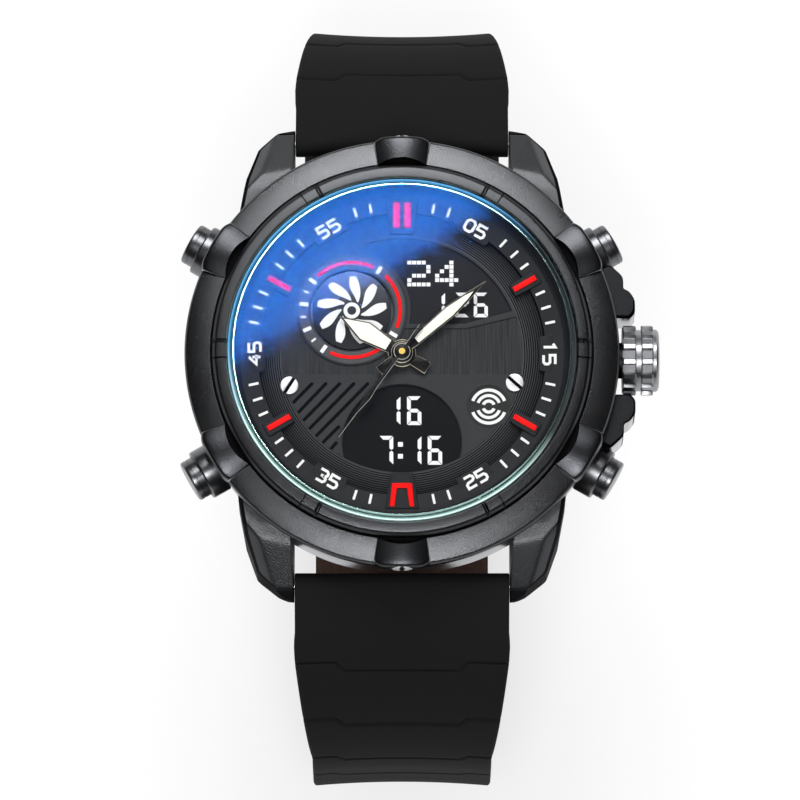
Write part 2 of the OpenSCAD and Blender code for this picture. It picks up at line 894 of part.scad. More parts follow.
module battery_clip() {
    reach = battery_r + 1.4;
    clip_w = 2.4;
    color("#cfd3d6")
        raised()
            translate([battery_at.x, battery_at.y, board_z - battery_t - clip_t])
                union() {
                    translate([-reach, -clip_w / 2, 0])
                        cube([2 * reach, clip_w, clip_t]);
                    for (side = [-1, 1])
                        translate([side * (reach - 0.2) - 0.2, -clip_w / 2, 0])
                            cube([0.4, clip_w, battery_t + clip_t]);
                }
}

module buzzer() {
    color("#c8a85a")
        raised()
            translate([2.5, 2, back_t])
                cylinder(r = buzzer_r, h = buzzer_t);
}

// Case back
module case_back() {
    color("#9a9da1")
        raised()
            difference() {
                rotate_extrude()
                    polygon([[0, 0], [back_r - 1.1, 0], [back_r, 0.7], [back_r, back_t],
                        [0, back_t]]);
                ring(seal_r, seal_r + seal_w, back_t - seal_t, past);
                for (a = [45:90:315])
                    rotate([0, 0, a])
                        translate([back_screw_at, 0, -past]) {
                            cylinder(r = back_screw_r + fit, h = 4, $fn = 32);
                            cylinder(r = back_screw_r + 0.35 + fit, h = past + 0.6, $fn = 32);
                        }
            }
}

module case_back_gasket() {
    color("#161616")
        raised()
            ring(seal_r, seal_r + seal_w, back_t - seal_t, seal_t);
}

module case_back_screws() {
    color("#c9cbce")
        raised()
            for (a = [45:90:315])
                rotate([0, 0, a])
                    translate([back_screw_at, 0, 0])
                        difference() {
                            union() {
                                cylinder(r = back_screw_r + 0.35, h = 0.6, $fn = 32);
                                cylinder(r = back_screw_r, h = lip_top - 0.3, $fn = 32);
                            }
                            translate([-2, -0.12, -past])
                                cube([4, 0.24, past + 0.2]);
                        }
}

// Crown
module crown() {
    cap_l = 0.7;
    tooth = 1.55;
    waist = 0.6;
    first = crown_x + tooth;
    second = first + waist;
    cap = crown_x + crown_l - cap_l;
    color("#6d6f72")
        raised()
            difference() {
                union() {
                    difference() {
                        union() {
                            translate([crown_x, 0, crown_z])
                                rotate([0, 90, 0])
                                    rotate_extrude()
                                        polygon([[0, 0], [crown_r - 0.35, 0], [crown_r, 0.4],
                                            [crown_r, tooth - 0.15], [crown_r - 0.2, tooth],
                                            [0, tooth]]);
                            rod(crown_r, second, cap, crown_z);
                        }
                        for (k = [0:flutes - 1])
                            translate([0, 0, crown_z])
                                rotate([k * 360 / flutes, 0, 0])
                                    rod(0.36, crown_x - past, cap + past, crown_r);
                    }
                    rod(crown_r - 0.75, crown_x, cap, crown_z);
                    translate([cap - 0.05, 0, crown_z])
                        rotate([0, 90, 0])
                            rotate_extrude()
                                polygon([[0, 0], [crown_r - 0.4, 0], [crown_r - 0.45, 0.35],
                                    [crown_r - 0.9, cap_l], [0, cap_l + 0.05]]);
                }
                rod(crown_cavity_r, crown_x - past, crown_x + crown_cavity, crown_z);
                rod(stem_r, crown_x, cap - 0.6, crown_z);
            }
}

module crown_tube() {
    color("#85878a")
        raised()
            sleeve(stem_r + 0.1, tube_r, cavity_r + 0.2, tube_end, crown_z);
}

module crown_stem() {
    color("#a9abad")
        raised()
            union() {
                rod(stem_r, pinion_x + pinion_l + 0.6 + crown_pull, crown_x + crown_l - 1.3,
                    crown_z);
                translate([stem_in, -square / 2, crown_z - square / 2])
                    cube([pinion_l + 2 + crown_pull, square, square]);
            }
}

module crown_gasket() {
    color("#141414")
        raised()
            sleeve(tube_r + 0.03, crown_cavity_r, crown_x + 0.35, crown_x + 0.95, crown_z);
}

module stem_pinion() {
    bore = square + 2 * fit;
    color("#c9a24c")
        raised()
            difference() {
                rod(pinion_r, pinion_x, pinion_x + pinion_l, crown_z);
                translate([pinion_x - past, -bore / 2, crown_z - bore / 2])
                    cube([pinion_l + 2 * past, bore, bore]);
            }
}

// Pushers
module pusher(place) {
    color("#6d6f72")
        raised()
            rotate([0, 0, place])
                difference() {
                    union() {
                        translate([cap_in, 0, pusher_z])
                            rotate([0, 90, 0])
                                rotate_extrude()
                                    polygon([[0, 0], [cap_r, 0], [cap_r, cap_end - cap_in - 0.3],
                                        [cap_r - 0.3, cap_end - cap_in], [0, cap_end - cap_in]]);
                        rod(pusher_stem_r, pusher_in, cap_in + 0.1, pusher_z);
                    }
                    sleeve(pusher_stem_r - 0.25, pusher_stem_r + past, clip_x, clip_x + ring_t,
                        pusher_z);
                }
}

module pusher_tubes() {
    color("#77797c")
        raised()
            at_pushers()
                difference() {
                    union() {
                        translate([case_r - 0.15, 0, pusher_z])
                            rotate([0, 90, 0])
                                rotate_extrude()
                                    polygon([[0, 0], [collar_r, 0],
                                        [collar_r, collar_end - case_r - 0.15],
                                        [collar_r - 0.3, collar_end - case_r + 0.15],
                                        [0, collar_end - case_r + 0.15]]);
                        rod(sleeve_r, sleeve_in, case_r, pusher_z);
                    }
                    rod(pusher_stem_r + 0.08, sleeve_in - past, cap_end, pusher_z);
                    rod(recess_r, recess, cap_end, pusher_z);
                }
}

module pusher_spring(place) {
    color("#b4b6b9")
        raised()
            rotate([0, 0, place])
                sleeve(pusher_stem_r + 0.2, pusher_stem_r + 0.65, recess, cap_in, pusher_z);
}

module pusher_clip(place) {
    color("#b4b6b9")
        raised()
            rotate([0, 0, place])
                sleeve(pusher_stem_r - 0.25, clip_r, clip_x, clip_x + ring_t, pusher_z);
}

// Strap
module spring_bar(side) {
    color("#b9bbbe")
        raised()
            translate([0, side * bar_y, bar_z])
                rotate([0, 90, 0])
                    union() {
                        cylinder(r = bar_r, h = lug_gap - 0.1, center = true, $fn = 48);
                        cylinder(r = bar_tip_r, h = lug_gap + 2 * bar_tip_l, center = true,
                            $fn = 32);
                    }
}

// A length of the strap between two distances and two depths, at full width
module band(s0, s1, d0, d1, w) {
    steps = ceil((s1 - s0) / strap_step);
    pts = [for (i = [0:steps]) s0 + (s1 - s0) * i / steps];
    across(w)
        polygon(concat([for (s = pts) spot(s, d0)],
            [for (i = [steps:-1:0]) spot(pts[i], d1)]));
}

// The tapered outline of a strap half, seen from the end of the watch
module taper() {
    pts = [for (i = [0:12]) taper_to * i / 12];
    rotate([90, 0, 0])
        linear_extrude(3 * strap_reach, center = true)
            polygon(concat(
                [[-strap_w_top / 2, 10]],
                [for (s = pts) [-strap_width(s) / 2, spot(s, 0).y]],
                [[-strap_w / 2, -2 * lift], [strap_w / 2, -2 * lift]],
                [for (i = [12:-1:0]) [strap_width(pts[i]) / 2, spot(pts[i], 0).y]],
                [[strap_w_top / 2, 10]]));
}

// Holds what follows the strap: its origin is on the outer face and its +Y points out of it
module on_strap(s) {
    p = spot(s, 0);
    translate([0, p.x, p.y])
        rotate([bend(s), 0, 0])
            children();
}

module bar_end() {
    translate([0, bar_y, bar_z])
        rotate([0, 90, 0])
            cylinder(r = end_r, h = strap_w_top, center = true, $fn = 48);
}

module bar_bore() {
    translate([0, bar_y, bar_z])
        rotate([0, 90, 0])
            cylinder(r = bar_hole_r, h = lug_gap + past, center = true, $fn = 48);
}

module tail_tip() {
    tip_y = lower_y - s_tail + s_foot;
    translate([0, 0, lower_z - lower_bend - past])
        linear_extrude(strap_t + 2 * past)
            difference() {
                translate([-strap_w, tip_y - past])
                    square([2 * strap_w, tail_tip_r + past]);
                translate([0, tip_y + tail_tip_r])
                    circle(r = tail_tip_r);
            }
}

module tail_holes() {
    for (k = [0:holes - 1])
        on_strap(s_hole - k * hole_pitch)
            rotate([90, 0, 0])
                cylinder(r = hole_r, h = 3 * strap_t, center = true, $fn = 32);
}

module pin_end() {
    translate([0, lower_y, lower_z - lower_bend + pin_z])
        rotate([0, 90, 0])
            cylinder(r = end_r, h = strap_w, center = true, $fn = 48);
}

module pin_cuts() {
    translate([0, lower_y, lower_z - lower_bend + pin_z])
        rotate([0, 90, 0])
            cylinder(r = pin_r, h = strap_w + past, center = true, $fn = 48);
    translate([-notch_w / 2, lower_y - end_r - past, lower_z - lower_bend - past])
        cube([notch_w, notch_l + end_r + past, strap_t + 2 * past]);
}

module strap_12() {
    color("#202021")
        raised()
            difference() {
                intersection() {
                    union() {
                        band(0, s_foot, 0, rubber_t, lug_gap);
                        band(0, lining_from, rubber_t, strap_t, lug_gap);
                        band(lining_to, s_foot, rubber_t, strap_t, lug_gap);
                        bar_end();
                        pin_end();
                    }
                    taper();
                }
                bar_bore();
                pin_cuts();
            }
}

module strap_6() {
    color("#202021")
        raised()
            mirror([0, 1, 0])
                difference() {
                    intersection() {
                        union() {
                            band(0, s_tail, 0, rubber_t, lug_gap);
                            band(0, lining_from, rubber_t, strap_t, lug_gap);
                            bar_end();
                        }
                        taper();
                    }
                    bar_bore();
                    tail_tip();
                    tail_holes();
                }
}

module lining_12() {
    color("#4a2c1c")
        raised()
            intersection() {
                difference() {
                    band(lining_from, lining_to, rubber_t - gap, strap_t, lug_gap);
                    band(0, s_foot, -past, rubber_t, lug_gap + past);
                }
                taper();
            }
}

module lining_6() {
    color("#4a2c1c")
        raised()
            mirror([0, 1, 0])
                difference() {
                    intersection() {
                        band(lining_from, s_tail, rubber_t - gap, strap_t, lug_gap);
                        taper();
                    }
                    band(0, s_tail, -past, rubber_t, lug_gap + past);
                    tail_tip();
                    tail_holes();
                }
}

module keeper(s) {
    color("#202021")
        raised()
            difference() {
                band(s - keeper_w / 2, s + keeper_w / 2, -keeper_fit - keeper_t,
                    strap_t + keeper_fit + keeper_t, strap_w + 2 * keeper_fit + 2 * keeper_t);
                band(s - keeper_w, s + keeper_w, -keeper_fit, strap_t + keeper_fit,
                    strap_w + 2 * keeper_fit);
            }
}

// Buckle
module at_pin() {
    raised()
        translate([0, lower_y, lower_z - lower_bend + pin_z])
            children();
}

module buckle_frame() {
    inner = strap_w + 2 * gap;
    bar_low = tongue_t + 0.1 - pin_z;
    arm_h = 2.2;
    color("#3a3a3c")
        at_pin()
            difference() {
                union() {
                    for (side = [-1, 1])
                        translate([side * (inner + buckle_arm) / 2, 0, 0])
                            across(buckle_arm)
                                union() {
                                    circle(r = arm_h / 2, $fn = 48);
                                    polygon([[0, -arm_h / 2], [0, arm_h / 2],
                                        [-buckle_l, bar_low + buckle_bar],
                                        [-buckle_l, bar_low]]);
                                }
                    translate([-buckle_w / 2, -buckle_l, bar_low])
                        cube([buckle_w, buckle_arm, buckle_bar]);
                }
                rotate([0, 90, 0])
                    cylinder(r = pin_hole_r, h = inner + buckle_arm, center = true, $fn = 48);
            }
}

module buckle_pin() {
    color("#b9bbbe")
        at_pin()
            rotate([0, 90, 0])
                cylinder(r = pin_r, h = strap_w + 2 * gap + buckle_arm - 0.2, center = true,
                    $fn = 48);
}

module buckle_tongue() {
    color("#3a3a3c")
        at_pin()
            difference() {
                across(tongue_w)
                    union() {
                        circle(r = loop_r, $fn = 48);
                        polygon([[0, -loop_r], [0, 0], [-buckle_l + buckle_arm, tongue_t - pin_z],
                            [-buckle_l + 0.3, tongue_t - pin_z], [-buckle_l - 0.3, -pin_z + 0.1],
                            [-buckle_l + buckle_arm, -pin_z]]);
                    }
                rotate([0, 90, 0])
                    cylinder(r = pin_hole_r, h = 2 * tongue_w, center = true, $fn = 48);
            }
}

mid_case();
bezel_outer();
bezel_inner();
bezel_screws();
crystal();
crystal_gasket();
chapter_ring();
hour_markers();
dial_plate();
dial_screws();
subdial_ring();
subdial_disc();
lcd_upper();
lcd_lower();
hour_hand();
hour_wheel();
minute_hand();
cannon_pinion();
second_hand();
second_arbor();
movement_module();
movement_holder();
circuit_board();
stepper_coil();
battery();
battery_clip();
buzzer();
case_back();
case_back_gasket();
case_back_screws();
crown();
crown_tube();
crown_stem();
crown_gasket();
stem_pinion();
pusher(pusher_angle);  // pusher_2
pusher(-pusher_angle);  // pusher_4
pusher(180 + pusher_angle);  // pusher_8
pusher(180 - pusher_angle);  // pusher_10
pusher_tubes();
pusher_spring(pusher_angle);  // pusher_spring_2
pusher_spring(-pusher_angle);  // pusher_spring_4
pusher_spring(180 + pusher_angle);  // pusher_spring_8
pusher_spring(180 - pusher_angle);  // pusher_spring_10
pusher_clip(pusher_angle);  // pusher_clip_2
pusher_clip(-pusher_angle);  // pusher_clip_4
pusher_clip(180 + pusher_angle);  // pusher_clip_8
pusher_clip(180 - pusher_angle);  // pusher_clip_10
spring_bar(1);  // spring_bar_12
spring_bar(-1);  // spring_bar_6
strap_12();
strap_6();
lining_12();
lining_6();
keeper(keeper_fixed_s);  // keeper_fixed
keeper(keeper_free_s);  // keeper_free
buckle_frame();
buckle_pin();
buckle_tongue();
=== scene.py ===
import math

import bmesh
import bpy
import numpy as np
from mathutils import Matrix, Vector


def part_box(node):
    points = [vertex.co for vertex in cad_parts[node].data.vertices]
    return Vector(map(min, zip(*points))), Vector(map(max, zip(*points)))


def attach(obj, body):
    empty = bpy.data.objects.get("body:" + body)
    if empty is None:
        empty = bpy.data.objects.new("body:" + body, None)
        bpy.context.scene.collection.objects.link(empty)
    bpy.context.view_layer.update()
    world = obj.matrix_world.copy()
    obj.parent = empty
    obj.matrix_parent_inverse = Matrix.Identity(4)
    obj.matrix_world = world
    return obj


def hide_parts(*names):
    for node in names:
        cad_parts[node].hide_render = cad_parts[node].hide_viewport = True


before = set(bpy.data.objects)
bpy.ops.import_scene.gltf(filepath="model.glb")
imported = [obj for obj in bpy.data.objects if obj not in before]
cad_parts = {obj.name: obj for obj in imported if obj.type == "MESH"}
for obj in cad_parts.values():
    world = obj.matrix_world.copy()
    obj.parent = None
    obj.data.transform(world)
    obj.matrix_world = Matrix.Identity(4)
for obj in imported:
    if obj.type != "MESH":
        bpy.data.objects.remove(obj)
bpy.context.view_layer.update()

# The camera looks down on the dial from 78.5 degrees, one metre from the hands' hub.
# Its long lens gives a frame of 88.9 mm at that distance, aimed a little beside the hub.
SENSOR, FRAME_WIDTH = 36, 0.0889
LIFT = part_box("case_back")[0][2] * 1000
HUB_Z, TILT = 12.4, math.radians(11.5)
HUB = Vector((0, 0, (LIFT + HUB_Z) / 1000))
towards = Vector((0, -math.sin(TILT), math.cos(TILT)))
up = Vector((0, math.cos(TILT), math.sin(TILT)))


def linked(name, data):
    """A new object with the given data, in the scene."""
    made = bpy.data.objects.new(name, data)
    bpy.context.collection.objects.link(made)
    return made


camera = linked("camera", bpy.data.cameras.new("camera"))
camera.location = HUB + towards + Vector((-0.000222, 0, 0)) - 0.005444 * up
camera.rotation_euler = (TILT, 0, 0)
camera.data.sensor_width = SENSOR
camera.data.lens = SENSOR / FRAME_WIDTH
camera.data.clip_start = 0.1
camera.data.clip_end = 20
scene = bpy.context.scene
scene.camera = camera
scene.view_settings.view_transform = "Standard"


# A white studio: the world is white up to a little above the level of the table and dim overhead.
# A large softbox hangs behind the watch and a small one before it.
def linear(code, alpha=1.0):
    """The linear colour of an sRGB hex code: c / 12.92 below 0.04045, else ((c + 0.055) / 1.055) ** 2.4."""
    c = np.array([int(code[i:i + 2], 16) for i in (1, 3, 5)]) / 255
    c = np.where(c <= 0.04045, c / 12.92, ((c + 0.055) / 1.055) ** 2.4)
    return (*c.tolist(), alpha)


def add(tree, kind, inputs=None, **settings):
    """Adds a node, applies its settings, links or sets its inputs, and gives its outputs."""
    made = tree.nodes.new(kind)
    for name, value in settings.items():
        setattr(made, name, value)
    for name, value in (inputs or {}).items():
        if isinstance(value, bpy.types.NodeSocket):
            tree.links.new(value, made.inputs[name])
        else:
            made.inputs[name].default_value = value
    return made.outputs


def emptied(owner):
    """The node tree of a new world or material, without its first nodes."""
    owner.use_nodes = True
    owner.node_tree.nodes.clear()
    return owner.node_tree


def in_view(tree):
    """1 for rays from the camera, off mirrors and through glass, and 0 for those that only light."""
    path = add(tree, "ShaderNodeLightPath")
    seen = add(tree, "ShaderNodeMath", {0: path["Is Camera Ray"], 1: path["Is Glossy Ray"]}, operation="ADD")
    return add(tree, "ShaderNodeMath", {0: seen[0], 1: path["Is Transmission Ray"]}, operation="ADD",
               use_clamp=True)[0]


FILL, OVERHEAD, HORIZON = 0.46, 0.02, 0.18
scene.world = bpy.data.worlds.new("white_studio")
tree = emptied(scene.world)
heading = add(tree, "ShaderNodeSeparateXYZ", {0: add(tree, "ShaderNodeTexCoord")["Generated"]})
white = add(tree, "ShaderNodeMapRange", {
    "Value": heading["Z"], "From Min": 0.0, "From Max": HORIZON, "To Min": 1.0, "To Max": OVERHEAD},
    interpolation_type="SMOOTHSTEP")
level = add(tree, "ShaderNodeMix", {0: in_view(tree), 2: FILL, 3: white[0]})
sky = add(tree, "ShaderNodeBackground", {"Color": linear("#ffffff"), "Strength": level[0]})
add(tree, "ShaderNodeOutputWorld", {"Surface": sky[0]})


def softbox(name, power, size, place, axes=None):
    """A rectangular lamp at a place in metres that faces the hub, or stands on given axes."""
    made = linked(name, bpy.data.lights.new(name, "AREA"))
    made.data.shape = "RECTANGLE"
    made.data.energy, made.data.size, made.data.size_y = power, size[0], size[1]
    made.location = place
    facing = (Vector(place) - HUB).to_track_quat("Z", "Y")
    made.rotation_euler = (axes.to_quaternion() if axes else facing).to_euler()
    made.visible_camera = False
    return made


softbox("back_box", 1.75, (0.25, 0.27), (-0.01, 0.31, 0.50))
softbox("front_box", 1.15, (0.14, 0.15), (-0.01, -0.19, 0.55))

floor = linked("floor", bpy.data.meshes.new("floor"))
floor.data.from_pydata([(-4, -4, 0), (4, -4, 0), (4, 4, 0), (-4, 4, 0)], [], [(0, 1, 2, 3)])
paper = bpy.data.materials.new("white_paper_sweep")
tree = emptied(paper)
share = add(tree, "ShaderNodeMath", {0: in_view(tree), 1: 0.6}, operation="MULTIPLY")
lit = add(tree, "ShaderNodeBsdfDiffuse", {"Color": linear("#f7f7f7")})
glow = add(tree, "ShaderNodeEmission", {"Color": linear("#ffffff"), "Strength": 1.05})
both = add(tree, "ShaderNodeMixShader", {0: share[0], 1: lit[0], 2: glow[0]})
add(tree, "ShaderNodeOutputMaterial", {"Surface": both[0]})
floor.data.materials.append(paper)


# Middle case: a bead-blasted steel drum, coated black, with four lugs and two crown guards.
# It is milled from one piece, so its edges are only slightly broken.
def by_distance(tree, where, point, reach, values):
    """Runs between two values as the distance in mm from a point runs between two reaches."""
    far = add(tree, "ShaderNodeVectorMath", {0: where, 1: (np.array(point) / 1000).tolist()},
              operation="DISTANCE")["Value"]
    return add(tree, "ShaderNodeMapRange", {
        "Value": far, "From Min": reach[0] / 1000, "From Max": reach[1] / 1000, "To Min": values[0],
        "To Max": values[1]})[0]


def surface(name, colour, rough, grain_mm, bump, spread=0.06, metallic=True, glance=1.0, specular=0.5,
            brushed=False, fade=None, second=None):
    """A fine-grained surface: noise of the grain's size lifts it and shifts its tone. A metal's roughness
    drifts in clouds, and glance is how much it mirrors at a glancing angle. Brushed draws the noise out in
    Y, fade darkens it with the distance from a point, and second is another colour and its place."""
    made = bpy.data.materials.new(name)
    tree = emptied(made)
    where = add(tree, "ShaderNodeTexCoord")["Object"]
    drawn = add(tree, "ShaderNodeMapping", {"Vector": where, "Scale": (1, 0.02, 1)})[0] if brushed else where
    grain = add(tree, "ShaderNodeTexNoise", {
        "Vector": drawn, "Scale": 1000 / grain_mm, "Detail": 2.0 if metallic else 3.0})["Fac"]
    tone = add(tree, "ShaderNodeMapRange", {
        "Value": grain, "From Min": 0.3, "From Max": 0.7, "To Max": 1 + spread,
        "To Min": 1 - (2 if metallic else 1) * spread})[0]
    if fade:
        tone = add(tree, "ShaderNodeMath", {0: tone, 1: by_distance(tree, where, *fade)},
                   operation="MULTIPLY")[0]
    base = linear(colour)
    if second:
        base = add(tree, "ShaderNodeMix", {
            0: by_distance(tree, where, *second[1:]), 6: base, 7: linear(second[0])}, data_type="RGBA")[2]
    base = add(tree, "ShaderNodeMix", {0: 1.0, 6: base, 7: tone}, data_type="RGBA", blend_type="MULTIPLY")[2]
    relief = add(tree, "ShaderNodeBump", {"Height": grain, "Strength": bump, "Distance": grain_mm / 1000})[0]
    inputs = {"Base Color": base, "Roughness": rough, "Normal": relief, "Specular IOR Level": specular}
    if metallic:
        cloud = add(tree, "ShaderNodeTexNoise", {"Vector": where, "Scale": 180.0, "Detail": 3.0})["Fac"]
        drift = add(tree, "ShaderNodeMapRange", {
            "Value": cloud, "From Min": 0.3, "From Max": 0.7, "To Min": rough * 0.92,
            "To Max": rough * 1.08})[0]
        inputs.update({"Metallic": 1.0, "Roughness": drift, "Specular Tint": (glance, glance, glance, 1.0)})
    shader = add(tree, "ShaderNodeBsdfPrincipled", inputs)
    add(tree, "ShaderNodeOutputMaterial", {"Surface": shader[0]})
    return made


# Black coating on bead-blasted steel: grit of 0.13 mm, so the sheen is broad and grainy.
blasted_black = surface("bead_blasted_black_steel", "#515254", 0.28, 0.13, 0.22)
# The lugs are blasted longer, which leaves them duller.
dull_black = surface("dull_blasted_black_steel", "#5a5b5d", 0.37, 0.15, 0.32)
# The crown guards and the lugs' sides take a darker, less mirroring copy of the blasted finish as painted
# shade.
shaded_side_steel = surface("shaded_copy_black_steel", "#2a2b2d", 0.36, 0.15, 0.2, glance=0.1)
# The buckle is milled and only lightly blasted, so it is smoother.
milled_black = surface("milled_black_steel", "#56575a", 0.30, 0.3, 0.08)
# The band of the case between bezel and back is polished and left bright.
polished_band = surface("polished_steel_band", "#8e8f93", 0.2, 0.25, 0.04, spread=0.03)


def rounded(corners, cut, steps=4):
    """Rounds a closed outline: each corner P becomes the curve (1-t)^2 A + 2t(1-t) P + t^2 B, with A and B
    a cut away from P along its two sides."""
    p = np.array(corners, float)
    before, after = np.roll(p, 1, 0) - p, np.roll(p, -1, 0) - p
    length = lambda v: np.maximum(np.linalg.norm(v, axis=1, keepdims=True), 1e-9)
    cut = np.broadcast_to(np.array(cut, float).reshape(-1, 1), (len(p), 1))
    a, b = (p + side / length(side) * np.minimum(cut, 0.45 * length(side)) for side in (before, after))
    t = np.linspace(0, 1, steps)[None, :, None]
    return ((1 - t) ** 2 * a[:, None] + 2 * t * (1 - t) * p[:, None] + t ** 2 * b[:, None]).reshape(-1, 2)


def all_round(count):
    """Angles spread evenly round a circle, from 0."""
    return np.linspace(0, 2 * np.pi, count, endpoint=False)


def turned(profile, angles):
    """A profile of (radius, height) turned about Z: (r cos a, r sin a, z), one row for each angle."""
    (r, z), a = np.array(profile, float).T, angles[:, None]
    return np.stack([r * np.cos(a), r * np.sin(a), z + 0 * a], -1)


def shell(grid, rows=False, columns=True, ends=False):
    """A grid of points as (points, faces): each cell is a quad, rows and columns may close on themselves,
    and the first and last row may be closed by one face each."""
    m, n = grid.shape[:2]
    index = np.arange(m * n).reshape(m, n)
    i = index if rows else index[:-1]
    j = np.roll(index, -1, 0) if rows else index[1:]
    if columns:
        quads = np.stack([i, np.roll(i, -1, 1), np.roll(j, -1, 1), j], -1)
    else:
        quads = np.stack([i[:, :-1], i[:, 1:], j[:, 1:], j[:, :-1]], -1)
    faces = quads.reshape(-1, 4).tolist()
    if ends:
        faces += [index[0].tolist(), index[-1].tolist()[::-1]]
    return grid.reshape(-1, 3), faces


def spun(profile, count=180, closed=True, centre=(0, 0)):
    """A turned profile as a shell, which stays open from its last point to its first unless closed."""
    return shell(turned(profile, all_round(count)) + (*centre, 0), rows=True, columns=closed)


def piece(name, shells, finishes, body="case", nodes=(), sharp=32, solid=True):
    """One object in metres from shells in mm above the case back. A shell's third entry numbers its finish,
    or each face's. Doubles are merged, faces turned outwards and edges past the sharp angle kept crisp."""
    points, faces, kinds, start = [], [], [], 0
    for part in shells:
        points.append(np.asarray(part[0], float))
        faces += [[k + start for k in f] for f in part[1]]
        kinds += list(np.broadcast_to(part[2] if len(part) > 2 else 0, len(part[1])))
        start += len(part[0])
    points = (np.concatenate(points) + (0, 0, LIFT)) / 1000
    mesh = bpy.data.meshes.new(name)
    mesh.from_pydata(points.tolist(), [], faces)
    mesh.polygons.foreach_set("material_index", kinds)
    work = bmesh.new()
    work.from_mesh(mesh)
    bmesh.ops.remove_doubles(work, verts=work.verts, dist=2e-7)
    bmesh.ops.dissolve_degenerate(work, edges=work.edges, dist=1e-7)
    if solid:
        bmesh.ops.recalc_face_normals(work, faces=work.faces)
    work.to_mesh(mesh)
    work.free()
    mesh.shade_smooth()
    mesh.set_sharp_from_angle(angle=math.radians(sharp))
    for finish in finishes:
        mesh.materials.append(finish)
    made = linked(name, mesh)
    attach(made, body)
    if nodes:
        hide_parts(*nodes)
    return made


CASE_R = 23.5
drum = rounded([(16.9, 1.4), (16.9, 3.1), (19, 3.1), (19, 10.4), (CASE_R, 10.4), (CASE_R, 2.7),
                (CASE_R - 0.5, 1.5), (22.3, 0.6), (20.25, 0.6), (20.25, 1.4)],
               [0.1, 0.1, 0.1, 0.1, 0.15, 0.8, 0.8, 0.4, 0.1, 0.1])


def lug(mx, my):
    """A lug as a grid: u runs over its inner wall, its top and its outer wall, v from its root to its tip.
    The top is the soft minimum -ln(sum(exp(-12 z))) / 12 of planes: a flat by the bezel, a slope to the
    tip, its steep end, and a facet along the slope's outer side."""
    top = np.concatenate([[0, 0.02, 0.05], np.linspace(0.08, 0.95, 40), [0.975, 1.0]])
    u = np.concatenate([[0, 0, 0], top, [1, 1, 1]])
    wall = np.concatenate([[0, 0.5, 0.86], np.ones(len(top)), [0.75, 0.35, 0]])
    v = np.concatenate([np.linspace(0, 0.97, 70), [0.985, 0.995, 1.0]])
    y = 14.0 + 12.9 * v
    outer = np.interp(y, [14, 16, 20.3, 24.0, 24.4, 26.2, 26.6, 26.9],
                      [17.9, 18.2, 17.4, 16.12, 15.75, 13.7, 12.9, 12.1])
    x = 12.0 + (outer - 12.0) * u[:, None]
    yy = y + 0 * x
    flat = np.minimum(10.2 - 0.1 * (yy - 20), 10.3)
    slope = 10.1 - 0.58 * (yy - 21.25 + 0.17 * (x - 12.4))
    steep = 7.3 - 2.6 * (yy - 25.9)
    facet = 10.1 - 0.58 * (yy - 20.65) - 0.8 * (x - 15.93 + 0.28 * (yy - 20.5))
    edge = 10.3 - 1.6 * (x - outer + 0.2)
    height = -np.log(sum(np.exp(-12 * plane) for plane in (flat, slope, steep, facet, edge))) / 12
    height -= 0.55 * np.maximum(1 - u[:, None] / 0.06, 0)
    low = np.interp(y, [14, 21.4, 22.9, 25.8, 26.7, 26.9], [0.6, 0.6, 0.9, 2.5, 3.1, 4.0])
    height = np.maximum(height, low + 0.6)
    grid = np.stack([mx * x, my * yy, low + (height - low) * wall[:, None]], -1)
    points, faces = shell(grid.transpose(1, 0, 2), ends=True)
    # The outer wall and the tip take the darker copy as painted shade.
    side = (np.append(u[1:], 1) > 0.94) | (v[1:, None] > 0.92)
    return points, faces, np.append(side, [True, True]).astype(int)


def guard(my):
    """A crown guard: its plan outline carried up in Z, drawn in a little at its foot and top. Its end clears
    the pusher's cap, and the walls that face six o'clock take the bright polished finish as a painted
    highlight."""
    side = 4.35
    plan = rounded([(20.6, side), (25.5, side), (26.0, side + 0.6), (26.0, side + 2.1), (25.4, side + 3.0),
                    (24.7, side + 3.3), (24.7, side + 4.7), (23.2, side + 6.1), (21.9, side + 5.35),
                    (20.6, side + 5.35)], [0.1, 0.25, 0.3, 0.4, 0.4, 0.3, 0.5, 0.3, 0.1, 0.1])
    centre = np.array([22.8, side + 3.0])
    z, share = np.array([[3.5, 3.7, 4.0, 9.4, 9.8, 10.05, 10.12],
                         [0.93, 0.985, 1.0, 1.0, 0.985, 0.955, 0.92]])[..., None, None]
    rows = centre + (plan - centre) * share
    grid = np.concatenate([rows, z + 0 * rows[..., :1]], -1)
    points, faces = shell(grid * (1, my, 1), ends=True)
    # Walls facing six o'clock below the top take the polished finish as a painted highlight.
    ahead = np.roll(plan, -1, 0) - plan
    facing = -my * ahead[:, 0] / np.linalg.norm(ahead, axis=1) < -0.5
    bright = facing & (z[1:, 0] < 9.6)
    return points, faces, np.append(np.where(bright, 2, 1), [1, 1])


piece("middle_case", [spun(drum)] + [guard(s) for s in (1, -1)], [polished_band, shaded_side_steel, polished_band],
      nodes=["mid_case"], sharp=18)
piece("lugs", [lug(a, b) for a in (-1, 1) for b in (-1, 1)], [dull_black, shaded_side_steel],
      sharp=40)

# Outer bezel ring: a sloping steel ring, blasted and coated, with six saddles standing on it.
# Its inner wall bows outwards under each saddle, which leaves a crescent gap beside the inner ring over a
# near-black floor of painted shade.
RING_STEPS, WALL_R, SADDLE_R = 720, 21.3, 21.6
SADDLES = np.radians(90 + 60 * np.arange(6))


def inner_edge(angle):
    """Radius of the ring's inner wall: 21.3 mm, plus a bow 0.62 (1 - (x / 2.6)^2) at each saddle, where x is
    the way from the saddle's middle."""
    off = (angle[:, None] - SADDLES + np.pi) % (2 * np.pi) - np.pi
    x = SADDLE_R * np.abs(off).min(1)
    return WALL_R + 0.62 * np.clip(1 - (x / 2.6) ** 2, 0, 1)


